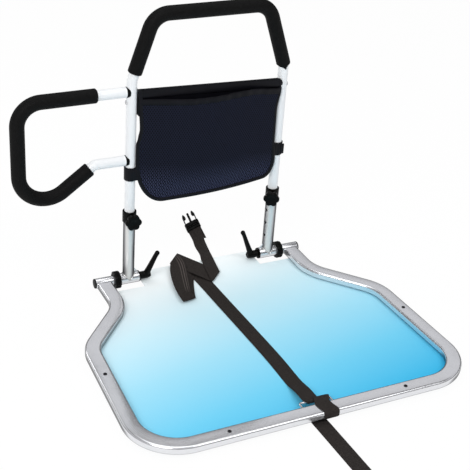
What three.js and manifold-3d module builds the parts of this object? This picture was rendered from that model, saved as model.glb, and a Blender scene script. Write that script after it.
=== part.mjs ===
// A bed rail: a flat tube frame that lies under a mattress, two hinged uprights, a padded hoop
// with a padded side handle, a mesh pocket and a webbing strap with a side-release buckle.
// Millimetres. X runs across the rail, -Y toward the front bar of the base, +Z up, floor at z = 0.
import * as THREE from 'three';
import { mergeVertices } from 'three/addons/utils/BufferGeometryUtils.js';
import Module from 'manifold-3d';

// Driving dimensions
const POST_X = 200; // half the spacing of the uprights
const BASE_LENGTH = 654; // from the uprights to the middle of the front bar
const HINGE_Z = 23; // height of the hinge axis
const GAP = 0.3; // clearance between pieces that touch
const LOOSE = 0.4; // radial clearance of what turns, slides or passes through a hole
const CUT = 40; // overrun of every cutting tool

// Base tube, a flat oval bent in plan
const BASE_WIDTH = 38;
const BASE_HEIGHT = 20;
const BASE_WALL = 1.6;
const BASE_EDGE = 6; // radius of the section's corners
const BASE_BOTTOM = 9;
const BASE_START_Y = -9;
const BASE_START_OUT = 28; // from the outer face of the base side's disc
const REAR_BEND = { y: -119, bend: 106 };
const ARM_BEND = { out: 125, y: -263, bend: 96 }; // out from the tube's ends
const FRONT_Y = -BASE_LENGTH;
const FRONT_BEND = { out: 141, bend: 104 };

// Cross tubes, hinge discs and bolts along the hinge axis
const CROSS_RADIUS = 12.5;
const CROSS_WALL = 1.6;
const CROSS_LENGTH = 49.1;
const CAP_THICK = 3;
const CAP_PLUG = 9;
const DISC_RADIUS = 22.5;
const DISC_THICK = 7;
const DISC_REACH = 39; // from the upright's axis to the outer face of the base side's disc
const DISC_OUTER = POST_X + DISC_REACH;
const DISC_NOTCH = 2.4;
const DISC_TEETH = 8;
const TOOTH_SHARES = [[-0.34, 0], [0, 0], [0.34, 0], [0.5, 1]]; // along a tooth's pitch, down the notch beside it
const SPIGOT = 14;
const BOLT_RADIUS = 4;
const BOLT_HEAD = 8;
const BOLT_HEAD_THICK = 6;

// Foot tubes, gussets and clamp levers
const FOOT_RADIUS = 15;
const FOOT_WALL = 1.6;
const FOOT_REACH = 26; // from the upright's axis toward the mid-plane
const FOOT_INNER = POST_X - FOOT_REACH;
const PLUG_FLANGE = 3;
const PLUG_DEPTH = 11;
const GUSSET_THICK = 3;
const GUSSET_RUN = 10;
const GUSSET_RISE = 12;
const HUB_LENGTH = 30.4;
const HUB_RADIUS = 10;
const HUB_NOSE = 8;
const BOLT_IN_HUB = 23.4;
const BOLT_TIP_ROOM = 1;
const LEVER_ROOT = { along: 21.4, rise: 4, r: 7.4 }; // from the hub's outer face and the hinge axis
const LEVER_TIP = { along: 47.4, rise: 70, r: 5.8 };
const LEVER_LEAN = { left: -11, right: 3 }; // degrees from upright toward the rear, as tightened

// Lower posts, collars and clamp knobs
const POST_RADIUS = 15;
const POST_WALL = 1.5;
const POST_TOP = 214;
const HOLE_RADIUS = 3.5;
const HOLE_TOP = 192.4;
const HOLE_PITCH = 37.5;
const HOLE_COUNT = 4;
const HOLE_TURN = 79; // degrees from the front toward the mid-plane
const COLLAR_RADIUS = 17.5;
const COLLAR_BOTTOM = 189;
const COLLAR_TOP = 219;
const COLLAR_BEVEL = 1;
const BOSS_RADIUS = 8;
const BOSS_REACH = 22;
const KNOB_Z = 199;
const KNOB_RADIUS = 21;
const KNOB_LOBES = 6;
const KNOB_SCALLOP = 2;
const KNOB_THICK = 13;
const KNOB_BEVEL = 1.5;
const KNOB_TURN = { left: 0, right: 30 }; // degrees from the front toward the mid-plane
const SCREW_RADIUS = 3;
const SCREW_IN_KNOB = 9;

// Upper frame and side handle, round tubes in the plane of the uprights
const TUBE_RADIUS = 12.7;
const TUBE_WALL = 1.5;
const FRAME_BOTTOM = 164;
const LEAN_Z = 562;
const LEAN_BEND = 60;
const HOOP_LEAN = 52.7; // how far the hoop's legs lean in
const HOOP_X = POST_X - HOOP_LEAN;
const HOOP_Z = 718;
const HOOP_BEND = 50;
const FOAM_RADIUS = 17.5;
const TOP_GRIP_START = 8.1; // past the bend where the left leg starts to lean
const TOP_GRIP_TAIL = 1; // straight stretch at the grip's right end
const GRIP_BEND_SHARE = 0.5; // how much of the right leg's bend the grip covers
const SEAT_REACH = 14.8; // from the upright's axis to the side handle's ends
const HANDLE_START = POST_X + SEAT_REACH;
const HANDLE_TOP_Z = 535;
const HANDLE_LOW_Z = 358;
const HANDLE_REACH = 276.7;
const HANDLE_X = POST_X + HANDLE_REACH;
const HANDLE_TOP_BEND = 57;
const HANDLE_FOOT_Z = 221; // where the handle's outer leg would meet its slanted stretch
const HANDLE_FOOT_BEND = 67;
const KINK_REACH = 92;
const HANDLE_KINK_X = POST_X + KINK_REACH;
const HANDLE_KINK_BEND = 20;
const SIDE_GRIP_TOP = 87; // where the side grip starts, from the upright's axis
const SIDE_GRIP_LOW = 11; // past the kink
const SADDLE_RADIUS = 13.2;
const SADDLE_INNER = 6; // from the upright's axis
const PLUG_LENGTH = 24;

// Fasteners of the upper frame
const HEAD_RADIUS = 6;
const HEAD_THICK = 2.4;
const HANDLE_BOLT_REACH = 36;
const POCKET_BOLT_Z = 509;
const POCKET_BOLT_REACH = 19;
const NUT_RADIUS = 5.5;
const NUT_THICK = 2.4;

// Pocket and its bands
const POCKET_BACK_Y = -10;
const POCKET_SIDE_Y = -13;
const POCKET_BULGE = 21;
const POCKET_WALL = 1.5;
const POCKET_BOTTOM = 240;
const POCKET_TOP = 536;
const POCKET_ROOM = { top: 16, waist: 20, hip: 13, flat: 90 }; // to the uprights' axes
const POCKET_TOP_X = POST_X - POCKET_ROOM.top;
const POCKET_WAIST = { x: POST_X - POCKET_ROOM.waist, z: 446 };
const POCKET_HIP = { x: POST_X - POCKET_ROOM.hip, z: 322 };
const POCKET_FLAT_X = POST_X - POCKET_ROOM.flat;
const POCKET_RIM_SIDE_Z = 514;
const POCKET_RIM_MID_Z = 490;
const TAB_ROOM = 0.5; // between a tab and the tube
const TAB_OUTER = POST_X - TUBE_RADIUS - TAB_ROOM;
const TAB_THICK = 1.5;
const TAB_HALF = 9;
const TAB_FRONT_Y = -20;
const TAB_BACK_Y = 7;
const BAND_RADIUS = 15.6;
const BAND_HEIGHT = 35;
const BAND_Z = { left: 306, right: 318 };
const FLAP = { width: 15, thick: 1.6, height: 22 };

// Board, its pads and screws
const BOARD_THICK = 2.4;
const BOARD_MARGIN = 10;
const BOARD_SHOULDER_Y = -32;
const BOARD_REAR_Y = 40;
const BOARD_REAR_ROOM = 35;
const BOARD_REAR_X = POST_X - BOARD_REAR_ROOM;
const NOTCH = { half: 48, back: 26 }; // round the strap loop, from the front bar's middle
const PAD = { length: 60, width: 22, height: 6, inward: 6 };
const PANEL_SCREW = { radius: 2, head: 4.5, headThick: 1.6, armFront: 280, frontX: 220.75 };
const PANEL_SCREW_TIP = 1.6;
const PAD_HOLE_BOTTOM = 1;

// Strap loop, a bent wire inside the front bar
const WIRE_RADIUS = 2.5;
const WIRE_Z = 25;
const WIRE_BACK = 34; // from the front bar's middle
const WIRE_Y = FRONT_Y + WIRE_BACK;
const WIRE_LEFT = -36;
const WIRE_RIGHT = 40;
const WIRE_BEND = 6;

// Strap. Each row is the left and right edge of the webbing's middle surface.
const STRAP_WIDTH = 38;
const STRAP_THICK = 1.5;
const FOLD_RISE = 1;
const STRAP_BEHIND = [
  [[53.2, 194.7, 5.3], [86.2, 188.5, 23.1]],
  [[49, 156, 2.5], [76, 136, 10]],
  [[41, 120, 1.4], [71, 92, 1.4]],
  [[31, 66, 8.4], [59, 47, 10.2]],
  [[21, 35, 12], [51, 6, 11.5]],
  [[11, -6, 18.8], [44, -25, 15]],
  [[2, -78, 14.8], [42, -37, 14.8]],
];
const STRAP_ACROSS = [
  [[3, -75, 12.6], [44, -34, 12.6]],
  [[-34, -25, 17.6], [6, 18, 17.6]],
  [[-70, 33, 18.8], [-30, 77, 18.8]],
];
const STRAP_DOWN = [
  [[-71, 30, 21], [-31, 73, 21]],
  [[-85, -3, 21], [-29, 34, 21]],
  [[-101, -63, 20], [-52, -50, 20]],
  [[-107, -106, 18.5], [-70, -112, 18.5]],
  [[-108, -143, 17], [-71, -137, 17]],
];
const STRAP_SECOND = [
  [[-106, -140, 15], [-69, -134, 15]],
  [[-91, -59, 15.6], [-44, -45, 15.6]],
  [[-62, 22, 16], [-17, 41, 16]],
];
const STRAP_THIRD = [
  [[-60, 25, 14], [-16, 44, 14]],
  [[-87, -57, 13.5], [-41, -48, 13.5]],
  [[-105, -137, 13], [-68, -131, 13]],
];
const STRAP_FOURTH = [
  [[-104, -135, 11], [-67, -128, 11]],
  [[-81, -56, 11.6], [-38, -51, 11.6]],
  [[-43, 14, 12], [1, 23, 12]],
];
const LONG_BACK = { far: 190, near: 90, rise: 40 }; // from the wire loop's middle
const STRAP_LONG = [
  [[-42, 17, 10], [3, 26, 10]],
  [[-36, -43, 10], [4, -50, 10]],
  [[-30, -170, 10], [9, -173, 10]],
  [[-19, WIRE_Y + LONG_BACK.far, 10], [20, WIRE_Y + LONG_BACK.far, 10]],
  [[-19, WIRE_Y + LONG_BACK.near, 10.6], [20, WIRE_Y + LONG_BACK.near, 10.6]],
  [[-22, WIRE_Y + LONG_BACK.rise, 22], [16, WIRE_Y + LONG_BACK.rise, 22]],
];
const WRAP_START_X = -6;
const WRAP_END_X = 20;
const WRAP_RISE = 2.2;
const WRAP_STEPS = 12;
const BAR_X = { inner: 12, top: 17, outer: 18, under: 4 };
const BAR_BACK = { top: 14, under: 6 }; // from the front bar's middle
const FLOOR_STRAP_Z = 1.3;
const RUN_X = { start: -6.5, bar: -5.5, middle: -1, far: 2.5 };
const RUN_OUT = { start: 8, bar: 36, middle: 181, far: 276, end: 306 }; // out from the front bar's middle
const ROLL_X = 3;
const FRONT_RUN = [
  { x: RUN_X.start, y: FRONT_Y - RUN_OUT.start },
  { x: RUN_X.bar, y: FRONT_Y - RUN_OUT.bar },
  { x: RUN_X.middle, y: FRONT_Y - RUN_OUT.middle },
  { x: RUN_X.far, y: FRONT_Y - RUN_OUT.far },
  { x: ROLL_X, y: FRONT_Y - RUN_OUT.end },
];
const ROLL_OUT = 341;
const ROLL_Y = FRONT_Y - ROLL_OUT;
const ROLL_RADIUS = 34.8;
const ROLL_PITCH = 2.2;
const ROLL_TURNS = 5.75;
const ROLL_STEPS = 24; // steps to a turn

// Buckle halves
const BUCKLE_HALF = 21;
const BUCKLE_BODY = 38;
const BUCKLE_THICK = 8;
const BUCKLE_CENTRE = { x: 69.8, y: 192, z: 14.2 };
const BUCKLE_HEADING = 10.66; // degrees from +Y toward +X
const BUCKLE_ROLL = 28; // degrees, its right side is up
const SLOT = { half: 19.4, from: 9, to: 13, second: 18, secondTo: 22 };
const PRONG = { inner: 13, outer: 16.5, reach: 92, barb: 20, barbRoot: 72, thick: 5, guide: 2.6 };
const SOCKET = { half: 23, length: 40.8, thick: 11, mouth: 17.5, mouthHigh: 6.4, depth: 28 };
const SOCKET_WINDOW = { from: 8, to: 22 };
const SOCKET_SLOT = { half: 19.4, from: 33, to: 37 };

// Counts
const SIDES = 16;
const SMALL_SIDES = 10;
const HEX = 6;
const CURVE = 8; // a full circle has twice this many sides
const BEND_STEP = 15; // degrees of bend to a ring

const wasm = await Module();
wasm.setup();

// Solids and how they are joined and cut

function solid(geometry) {
  const bare = geometry.index ? geometry.toNonIndexed() : geometry.clone();
  bare.deleteAttribute('normal');
  bare.deleteAttribute('uv');
  const merged = mergeVertices(bare);
  const triVerts = new Uint32Array(merged.index.array);
  const vertProperties = merged.attributes.position.array;
  const body = new wasm.Manifold(new wasm.Mesh({ numProp: 3, vertProperties, triVerts }));
  if (body.volume() > 0) return body;
  const turned = triVerts.map((_, i) => triVerts[i - (i % 3) + (2 - (i % 3))]);
  return new wasm.Manifold(new wasm.Mesh({ numProp: 3, vertProperties, triVerts: turned }));
}

function geometryOf(body) {
  const mesh = body.getMesh();
  const geometry = new THREE.BufferGeometry();
  geometry.setAttribute('position', new THREE.BufferAttribute(mesh.vertProperties, 3));
  geometry.setIndex(new THREE.BufferAttribute(mesh.triVerts, 1));
  geometry.computeVertexNormals();
  return geometry;
}

function union(...bodies) {
  return bodies.reduce((all, next) => all.add(next));
}

function cut(body, ...tools) {
  return tools.reduce((left, tool) => left.subtract(tool), body);
}

const at = (x, y, z) => new THREE.Vector3(x, y, z);

function facing(geometry, origin, direction) {
  const turn = new THREE.Quaternion().setFromUnitVectors(at(0, 1, 0), direction.clone().normalize());
  geometry.applyQuaternion(turn);
  geometry.translate(origin.x, origin.y, origin.z);
  return geometry;
}

// A round rod from one point to another, tapered when the radii differ.
function rod(from, to, radius, sides = SIDES, endRadius = radius) {
  const run = to.clone().sub(from);
  const length = run.length();
  const geometry = new THREE.CylinderGeometry(endRadius, radius, length, sides);
  geometry.translate(0, length / 2, 0);
  return solid(facing(geometry, from, run));
}

function pipe(from, to, radius, wall, sides = SIDES) {
  const overrun = to.clone().sub(from).setLength(CUT);
  const bore = rod(from.clone().sub(overrun), to.clone().add(overrun), radius - wall, sides);
  return rod(from, to, radius, sides).subtract(bore);
}

// A turned piece: profile points are [radius, distance along the direction].
function turned(profile, origin, direction, sides = SIDES) {
  const points = profile.map(([radius, along]) => new THREE.Vector2(radius, along));
  return solid(facing(new THREE.LatheGeometry(points, sides), origin, direction));
}

function box(low, high) {
  const size = high.clone().sub(low);
  const middle = high.clone().add(low).multiplyScalar(0.5);
  return solid(new THREE.BoxGeometry(size.x, size.y, size.z).translate(middle.x, middle.y, middle.z));
}

// An outline drawn in XY and raised along Z.
function raised(shape, bottom, top) {
  const settings = { depth: top - bottom, bevelEnabled: false, curveSegments: CURVE };
  return solid(new THREE.ExtrudeGeometry(shape, settings).translate(0, 0, bottom));
}

// An outline drawn in XZ and carried along Y, from the front to the back.
function upright(shape, front, back) {
  const settings = { depth: back - front, bevelEnabled: false, curveSegments: CURVE };
  const geometry = new THREE.ExtrudeGeometry(shape, settings);
  geometry.rotateX(Math.PI / 2);
  return solid(geometry.translate(0, back, 0));
}

function outline(points) {
  return new THREE.Shape(points.map(([x, y]) => new THREE.Vector2(x, y)));
}

// A tube's centreline in one plane: straight runs joined by round bends, with rings only at the
// ends and round the bends.
class BentPath extends THREE.Curve {
  constructor(corners, planeNormal) {
    super();
    this.planeNormal = planeNormal;
    this.rings = [];
    corners.forEach((corner, i) => {
      if (corner.bend) this.bend(corners[i - 1].at, corner, corners[i + 1].at);
      else this.rings.push({ at: corner.at.clone(), tangent: this.direction(corners, i) });
    });
  }

  direction(corners, i) {
    const next = i === 0 ? corners[1].at : corners[i].at;
    const last = i === 0 ? corners[0].at : corners[i - 1].at;
    return next.clone().sub(last).normalize();
  }

  bend(before, corner, after) {
    const arriving = corner.at.clone().sub(before).normalize();
    const leaving = after.clone().sub(corner.at).normalize();
    const turn = arriving.angleTo(leaving);
    const axis = arriving.clone().cross(leaving).normalize();
    const inward = axis.clone().cross(arriving);
    const start = corner.at.clone().addScaledVector(arriving, -corner.bend * Math.tan(turn / 2));
    const centre = start.clone().addScaledVector(inward, corner.bend);
    const steps = Math.ceil(turn / THREE.MathUtils.degToRad(BEND_STEP));
    for (let i = 0; i <= steps; i++) {
      const angle = (turn * i) / steps;
      const spoke = inward.clone().multiplyScalar(-corner.bend).applyAxisAngle(axis, angle);
      this.rings.push({ at: centre.clone().add(spoke), tangent: arriving.clone().applyAxisAngle(axis, angle) });
    }
  }

  getSpacedPoints() {
    return this.rings.map((ring) => ring.at);
  }

  computeFrenetFrames() {
    const tangents = this.rings.map((ring) => ring.tangent);
    const normals = this.rings.map(() => this.planeNormal.clone());
    const binormals = tangents.map((tangent) => tangent.clone().cross(this.planeNormal));
    return { tangents, normals, binormals };
  }
}

function swept(shape, path, curveSegments = CURVE) {
  const settings = { steps: path.rings.length - 1, extrudePath: path, curveSegments };
  return solid(new THREE.ExtrudeGeometry(shape, settings));
}

function roundSection(radius, boreRadius = 0) {
  const shape = new THREE.Shape().absarc(0, 0, radius, 0, 2 * Math.PI);
  if (boreRadius) shape.holes.push(new THREE.Path().absarc(0, 0, boreRadius, 0, 2 * Math.PI));
  return shape;
}

function ovalOutline(kind, width, height, edge) {
  const x = width / 2 - edge;
  const y = height / 2 - edge;
  const quarter = Math.PI / 2;
  const corners = [[x, y], [-x, y], [-x, -y], [x, -y]];
  corners.forEach(([cx, cy], i) => kind.absarc(cx, cy, edge, i * quarter, (i + 1) * quarter));
  return kind;
}

// A band of webbing through rows of left and right edges.
function ribbon(rows) {
  const middles = rows.map(([left, right]) => left.clone().add(right).multiplyScalar(0.5));
  const positions = [];
  rows.forEach(([left, right], i) => {
    const ahead = middles[Math.min(i + 1, rows.length - 1)];
    const behind = middles[Math.max(i - 1, 0)];
    const across = right.clone().sub(left);
    const up = across.cross(ahead.clone().sub(behind)).setLength(STRAP_THICK / 2);
    const corners = [left.clone().add(up), right.clone().add(up), right.clone().sub(up), left.clone().sub(up)];
    corners.forEach((corner) => positions.push(...corner.toArray()));
  });
  const faces = [];
  for (let i = 0; i + 1 < rows.length; i++) {
    for (let side = 0; side < 4; side++) {
      const a = 4 * i + side;
      const b = 4 * i + ((side + 1) % 4);
      faces.push(a, b, b + 4, a, b + 4, a + 4);
    }
  }
  const last = 4 * (rows.length - 1);
  faces.push(0, 2, 1, 0, 3, 2, last, last + 1, last + 2, last, last + 2, last + 3);
  const geometry = new THREE.BufferGeometry();
  geometry.setAttribute('position', new THREE.Float32BufferAttribute(positions, 3));
  geometry.setIndex(faces);
  return solid(geometry);
}

// Materials

function finish(color, roughness, metalness) {
  return new THREE.MeshStandardMaterial({ color, roughness, metalness });
}

const chrome = finish(0xd4d6d8, 0.12, 1);
const whiteCoat = finish(0xe8ebf0, 0.35, 0.1);
const blackPlastic = finish(0x121212, 0.45, 0);
const blackSteel = finish(0x1b1b1d, 0.4, 0.7);
const foam = finish(0x151515, 0.9, 0);
const webbing = finish(0x332f2d, 0.85, 0);
const pocketCloth = finish(0x1c1e33, 0.9, 0);
const boardBlue = finish(0x7fd0f3, 0.3, 0);
const padRubber = finish(0x1a1a1a, 0.8, 0);

const rail = new THREE.Group();

function piece(name, body, material) {
  const mesh = new THREE.Mesh(geometryOf(body), material);
  mesh.name = name;
  rail.add(mesh);
  return mesh;
}

const SIDES_OF_RAIL = [{ name: 'left', sign: -1 }, { name: 'right', sign: 1 }];

// A point on the hinge axis, by its distance from the mid-plane.
const onAxis = (side, out) => at(side.sign * out, 0, HINGE_Z);
const outward = (side) => at(side.sign, 0, 0);

// Faces of the hinge parts, as distances from the mid-plane
const baseDiscInner = DISC_OUTER - DISC_THICK;
const postDiscOuter = baseDiscInner - GAP;
const postDiscInner = postDiscOuter - DISC_THICK;
const footOuter = postDiscInner - GAP;
const flangeOuter = FOOT_INNER - GAP;
const hubOuter = flangeOuter - PLUG_FLANGE - GAP;
const crossInner = DISC_OUTER + GAP;
const crossEnd = crossInner + CROSS_LENGTH;
const crossBore = CROSS_RADIUS - CROSS_WALL;
const footBore = FOOT_RADIUS - FOOT_WALL;

// Base tube and board

const baseStartX = DISC_OUTER + BASE_START_OUT;
const baseMiddle = BASE_BOTTOM + BASE_HEIGHT / 2;
const armPoint = at(baseStartX + ARM_BEND.out, ARM_BEND.y, baseMiddle);
const frontPoint = at(baseStartX + FRONT_BEND.out, FRONT_Y, baseMiddle);
const rightHalf = [
  { at: at(baseStartX, BASE_START_Y, baseMiddle) },
  { at: at(baseStartX, REAR_BEND.y, baseMiddle), bend: REAR_BEND.bend },
  { at: armPoint, bend: ARM_BEND.bend },
  { at: frontPoint, bend: FRONT_BEND.bend },
];
const mirrored = (corner) => ({ at: at(-corner.at.x, corner.at.y, corner.at.z), bend: corner.bend });
const basePath = new BentPath([...rightHalf.map(mirrored), ...rightHalf.toReversed()], at(0, 0, 1));

const armScrewY = FRONT_Y + PANEL_SCREW.armFront;
const armScrewShare = (ARM_BEND.y - armScrewY) / (ARM_BEND.y - FRONT_Y);
const armScrewX = armPoint.clone().lerp(frontPoint, armScrewShare).x;
const screwPlaces = [
  { name: 'left_arm', x: -armScrewX, y: armScrewY, turn: Math.PI / 2 },
  { name: 'right_arm', x: armScrewX, y: armScrewY, turn: Math.PI / 2 },
  { name: 'front_left', x: -PANEL_SCREW.frontX, y: FRONT_Y, turn: 0 },
  { name: 'front_right', x: PANEL_SCREW.frontX, y: FRONT_Y, turn: 0 },
];

function screwHole(place, bottom) {
  const top = BASE_BOTTOM + BASE_HEIGHT + CUT;
  return rod(at(place.x, place.y, bottom), at(place.x, place.y, top), PANEL_SCREW.radius + LOOSE, SMALL_SIDES);
}

function baseTube() {
  const section = ovalOutline(new THREE.Shape(), BASE_HEIGHT, BASE_WIDTH, BASE_EDGE);
  const wall = 2 * BASE_WALL;
  const bore = ovalOutline(new THREE.Path(), BASE_HEIGHT - wall, BASE_WIDTH - wall, BASE_EDGE - BASE_WALL);
  section.holes.push(bore);
  const reach = crossEnd + CUT;
  const saddle = rod(at(-reach, 0, HINGE_Z), at(reach, 0, HINGE_Z), CROSS_RADIUS + GAP);
  return cut(swept(section, basePath, 1), saddle, ...screwPlaces.map((place) => screwHole(place, 0)));
}

function board() {
  const margin = (ring) => ring.tangent.clone().cross(at(0, 0, -1)).multiplyScalar(-BOARD_MARGIN).add(ring.at);
  const rim = basePath.rings.filter((ring) => ring.at.y < BOARD_SHOULDER_Y).map(margin);
  const first = rim[0];
  const last = rim[rim.length - 1];
  const shape = outline([
    [first.x, BOARD_SHOULDER_Y],
    ...rim.map((point) => [point.x, point.y]),
    [last.x, BOARD_SHOULDER_Y],
    [BOARD_REAR_X, BOARD_SHOULDER_Y],
    [BOARD_REAR_X, BOARD_REAR_Y],
    [-BOARD_REAR_X, BOARD_REAR_Y],
    [-BOARD_REAR_X, BOARD_SHOULDER_Y],
  ]);
  const top = BASE_BOTTOM - GAP;
  const notch = box(at(-NOTCH.half, FRONT_Y - CUT, 0), at(NOTCH.half, FRONT_Y + NOTCH.back, CUT));
  return cut(raised(shape, top - BOARD_THICK, top), notch, ...screwPlaces.map((place) => screwHole(place, 0)));
}

piece('base_tube', baseTube(), chrome);
piece('base_board', board(), boardBlue);

for (const place of screwPlaces) {
  const pad = new THREE.BoxGeometry(PAD.length, PAD.width, PAD.height).rotateZ(place.turn);
  const [inX, inY] = place.turn ? [-Math.sign(place.x) * PAD.inward, 0] : [0, PAD.inward];
  pad.translate(place.x + inX, place.y + inY, PAD.height / 2);
  piece(`${place.name}_pad`, cut(solid(pad), screwHole(place, PAD_HOLE_BOTTOM)), padRubber);
  const seat = BASE_BOTTOM + BASE_HEIGHT + GAP;
  const shank = rod(at(place.x, place.y, PANEL_SCREW_TIP), at(place.x, place.y, seat), PANEL_SCREW.radius, SMALL_SIDES);
  const head = rod(
    at(place.x, place.y, seat),
    at(place.x, place.y, seat + PANEL_SCREW.headThick),
    PANEL_SCREW.head,
    SMALL_SIDES,
    PANEL_SCREW.head - PANEL_SCREW.headThick,
  );
  piece(`${place.name}_screw`, union(shank, head), blackSteel);
}

const barInnerY = FRONT_Y + BASE_WIDTH / 2;
const wirePath = new BentPath([
  { at: at(WIRE_LEFT, barInnerY + GAP, WIRE_Z) },
  { at: at(WIRE_LEFT, WIRE_Y, WIRE_Z), bend: WIRE_BEND },
  { at: at(WIRE_RIGHT, WIRE_Y, WIRE_Z), bend: WIRE_BEND },
  { at: at(WIRE_RIGHT, barInnerY + GAP, WIRE_Z) },
], at(0, 0, 1));
piece('strap_loop', swept(roundSection(WIRE_RADIUS), wirePath, CURVE / 2), chrome);

// Hinges: cross tube, discs and bolt of the base, then discs, foot tube and lever of the upright

// An outline round the hinge axis with broad teeth on its edge.
function toothedRim() {
  const points = [];
  const pitch = (2 * Math.PI) / DISC_TEETH;
  for (let tooth = 0; tooth < DISC_TEETH; tooth++) {
    for (const [along, down] of TOOTH_SHARES) {
      const angle = (tooth + along) * pitch;
      const radius = DISC_RADIUS - down * DISC_NOTCH;
      points.push([radius * Math.sin(angle), radius * Math.cos(angle)]);
    }
  }
  return outline(points);
}

// A disc between two distances from the mid-plane, with a spigot that runs to a third.
function hingeDisc(side, from, to, spigotEnd, spigotRadius) {
  const settings = { depth: to - from, bevelEnabled: false };
  const rim = new THREE.ExtrudeGeometry(toothedRim(), settings).rotateY(Math.PI / 2);
  const near = side.sign > 0 ? from : -to;
  const disc = solid(rim.translate(near, 0, HINGE_Z));
  const spigot = rod(onAxis(side, (from + to) / 2), onAxis(side, spigotEnd), spigotRadius);
  const bore = rod(onAxis(side, 0), onAxis(side, DISC_OUTER + CUT), BOLT_RADIUS + LOOSE, SMALL_SIDES);
  return cut(union(disc, spigot), bore);
}

for (const side of SIDES_OF_RAIL) {
  piece(
    `${side.name}_cross_tube`,
    pipe(onAxis(side, crossInner), onAxis(side, crossEnd), CROSS_RADIUS, CROSS_WALL),
    chrome,
  );
  const capFace = crossEnd + GAP;
  const cap = union(
    rod(onAxis(side, capFace), onAxis(side, capFace + CAP_THICK), CROSS_RADIUS),
    rod(onAxis(side, capFace - CAP_PLUG), onAxis(side, capFace + CAP_THICK / 2), crossBore - LOOSE),
  );
  piece(`${side.name}_end_cap`, cap, blackPlastic);
  piece(
    `${side.name}_base_disc`,
    hingeDisc(side, baseDiscInner, DISC_OUTER, DISC_OUTER + SPIGOT, crossBore - LOOSE),
    blackPlastic,
  );
  const headInner = DISC_OUTER + SPIGOT + GAP;
  const boltTip = hubOuter - BOLT_IN_HUB;
  const hingeBolt = union(
    rod(onAxis(side, boltTip), onAxis(side, headInner + BOLT_HEAD_THICK / 2), BOLT_RADIUS, SMALL_SIDES),
    rod(onAxis(side, headInner), onAxis(side, headInner + BOLT_HEAD_THICK), BOLT_HEAD, HEX),
  );
  piece(`${side.name}_hinge_bolt`, hingeBolt, blackSteel);
}

for (const side of SIDES_OF_RAIL) {
  piece(
    `${side.name}_post_disc`,
    hingeDisc(side, postDiscInner, postDiscOuter, postDiscInner - SPIGOT, footBore - LOOSE),
    blackPlastic,
  );
  piece(
    `${side.name}_foot_tube`,
    pipe(onAxis(side, FOOT_INNER), onAxis(side, footOuter), FOOT_RADIUS, FOOT_WALL),
    chrome,
  );
  const boltBore = rod(onAxis(side, 0), onAxis(side, DISC_OUTER), BOLT_RADIUS + LOOSE, SMALL_SIDES);
  const footPlug = union(
    rod(onAxis(side, flangeOuter - PLUG_FLANGE), onAxis(side, flangeOuter), FOOT_RADIUS - LOOSE),
    rod(onAxis(side, flangeOuter - PLUG_FLANGE / 2), onAxis(side, FOOT_INNER + PLUG_DEPTH), footBore - LOOSE),
  );
  piece(`${side.name}_foot_plug`, cut(footPlug, boltBore), blackPlastic);
  const hubInner = hubOuter - HUB_LENGTH;
  const hub = turned([
    [0, hubInner],
    [HUB_NOSE, hubInner],
    [HUB_RADIUS, hubInner + HUB_NOSE],
    [HUB_RADIUS, hubOuter],
    [0, hubOuter],
  ], onAxis(side, 0), outward(side));
  const lean = THREE.MathUtils.degToRad(LEVER_LEAN[side.name]);
  const onLever = ({ along, rise }) =>
    at(side.sign * (hubOuter - along), rise * Math.sin(lean), HINGE_Z + rise * Math.cos(lean));
  const root = onLever(LEVER_ROOT);
  const tip = onLever(LEVER_TIP);
  const arm = rod(root, tip, LEVER_ROOT.r, SIDES, LEVER_TIP.r);
  const ball = solid(new THREE.SphereGeometry(LEVER_TIP.r, SMALL_SIDES, CURVE).translate(tip.x, tip.y, tip.z));
  const socketEnd = hubOuter - BOLT_IN_HUB - BOLT_TIP_ROOM;
  const socket = rod(onAxis(side, socketEnd), onAxis(side, DISC_OUTER), BOLT_RADIUS + LOOSE, SMALL_SIDES);
  piece(`${side.name}_clamp_lever`, cut(union(hub, arm, ball), socket), blackPlastic);
}

// Lower posts, gussets, collars and knobs

// A direction that leaves an upright's axis, turned from the front toward the mid-plane.
function fromPost(side, degrees, out, z) {
  const angle = THREE.MathUtils.degToRad(degrees);
  return at(side.sign * (POST_X - out * Math.sin(angle)), -out * Math.cos(angle), z);
}

function knobOutline() {
  const points = [];
  const count = 8 * KNOB_LOBES;
  for (let i = 0; i < count; i++) {
    const angle = (2 * Math.PI * i) / count;
    const radius = KNOB_RADIUS - KNOB_BEVEL - KNOB_SCALLOP + KNOB_SCALLOP * Math.cos(KNOB_LOBES * angle);
    points.push([radius * Math.cos(angle), radius * Math.sin(angle)]);
  }
  return outline(points);
}

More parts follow.
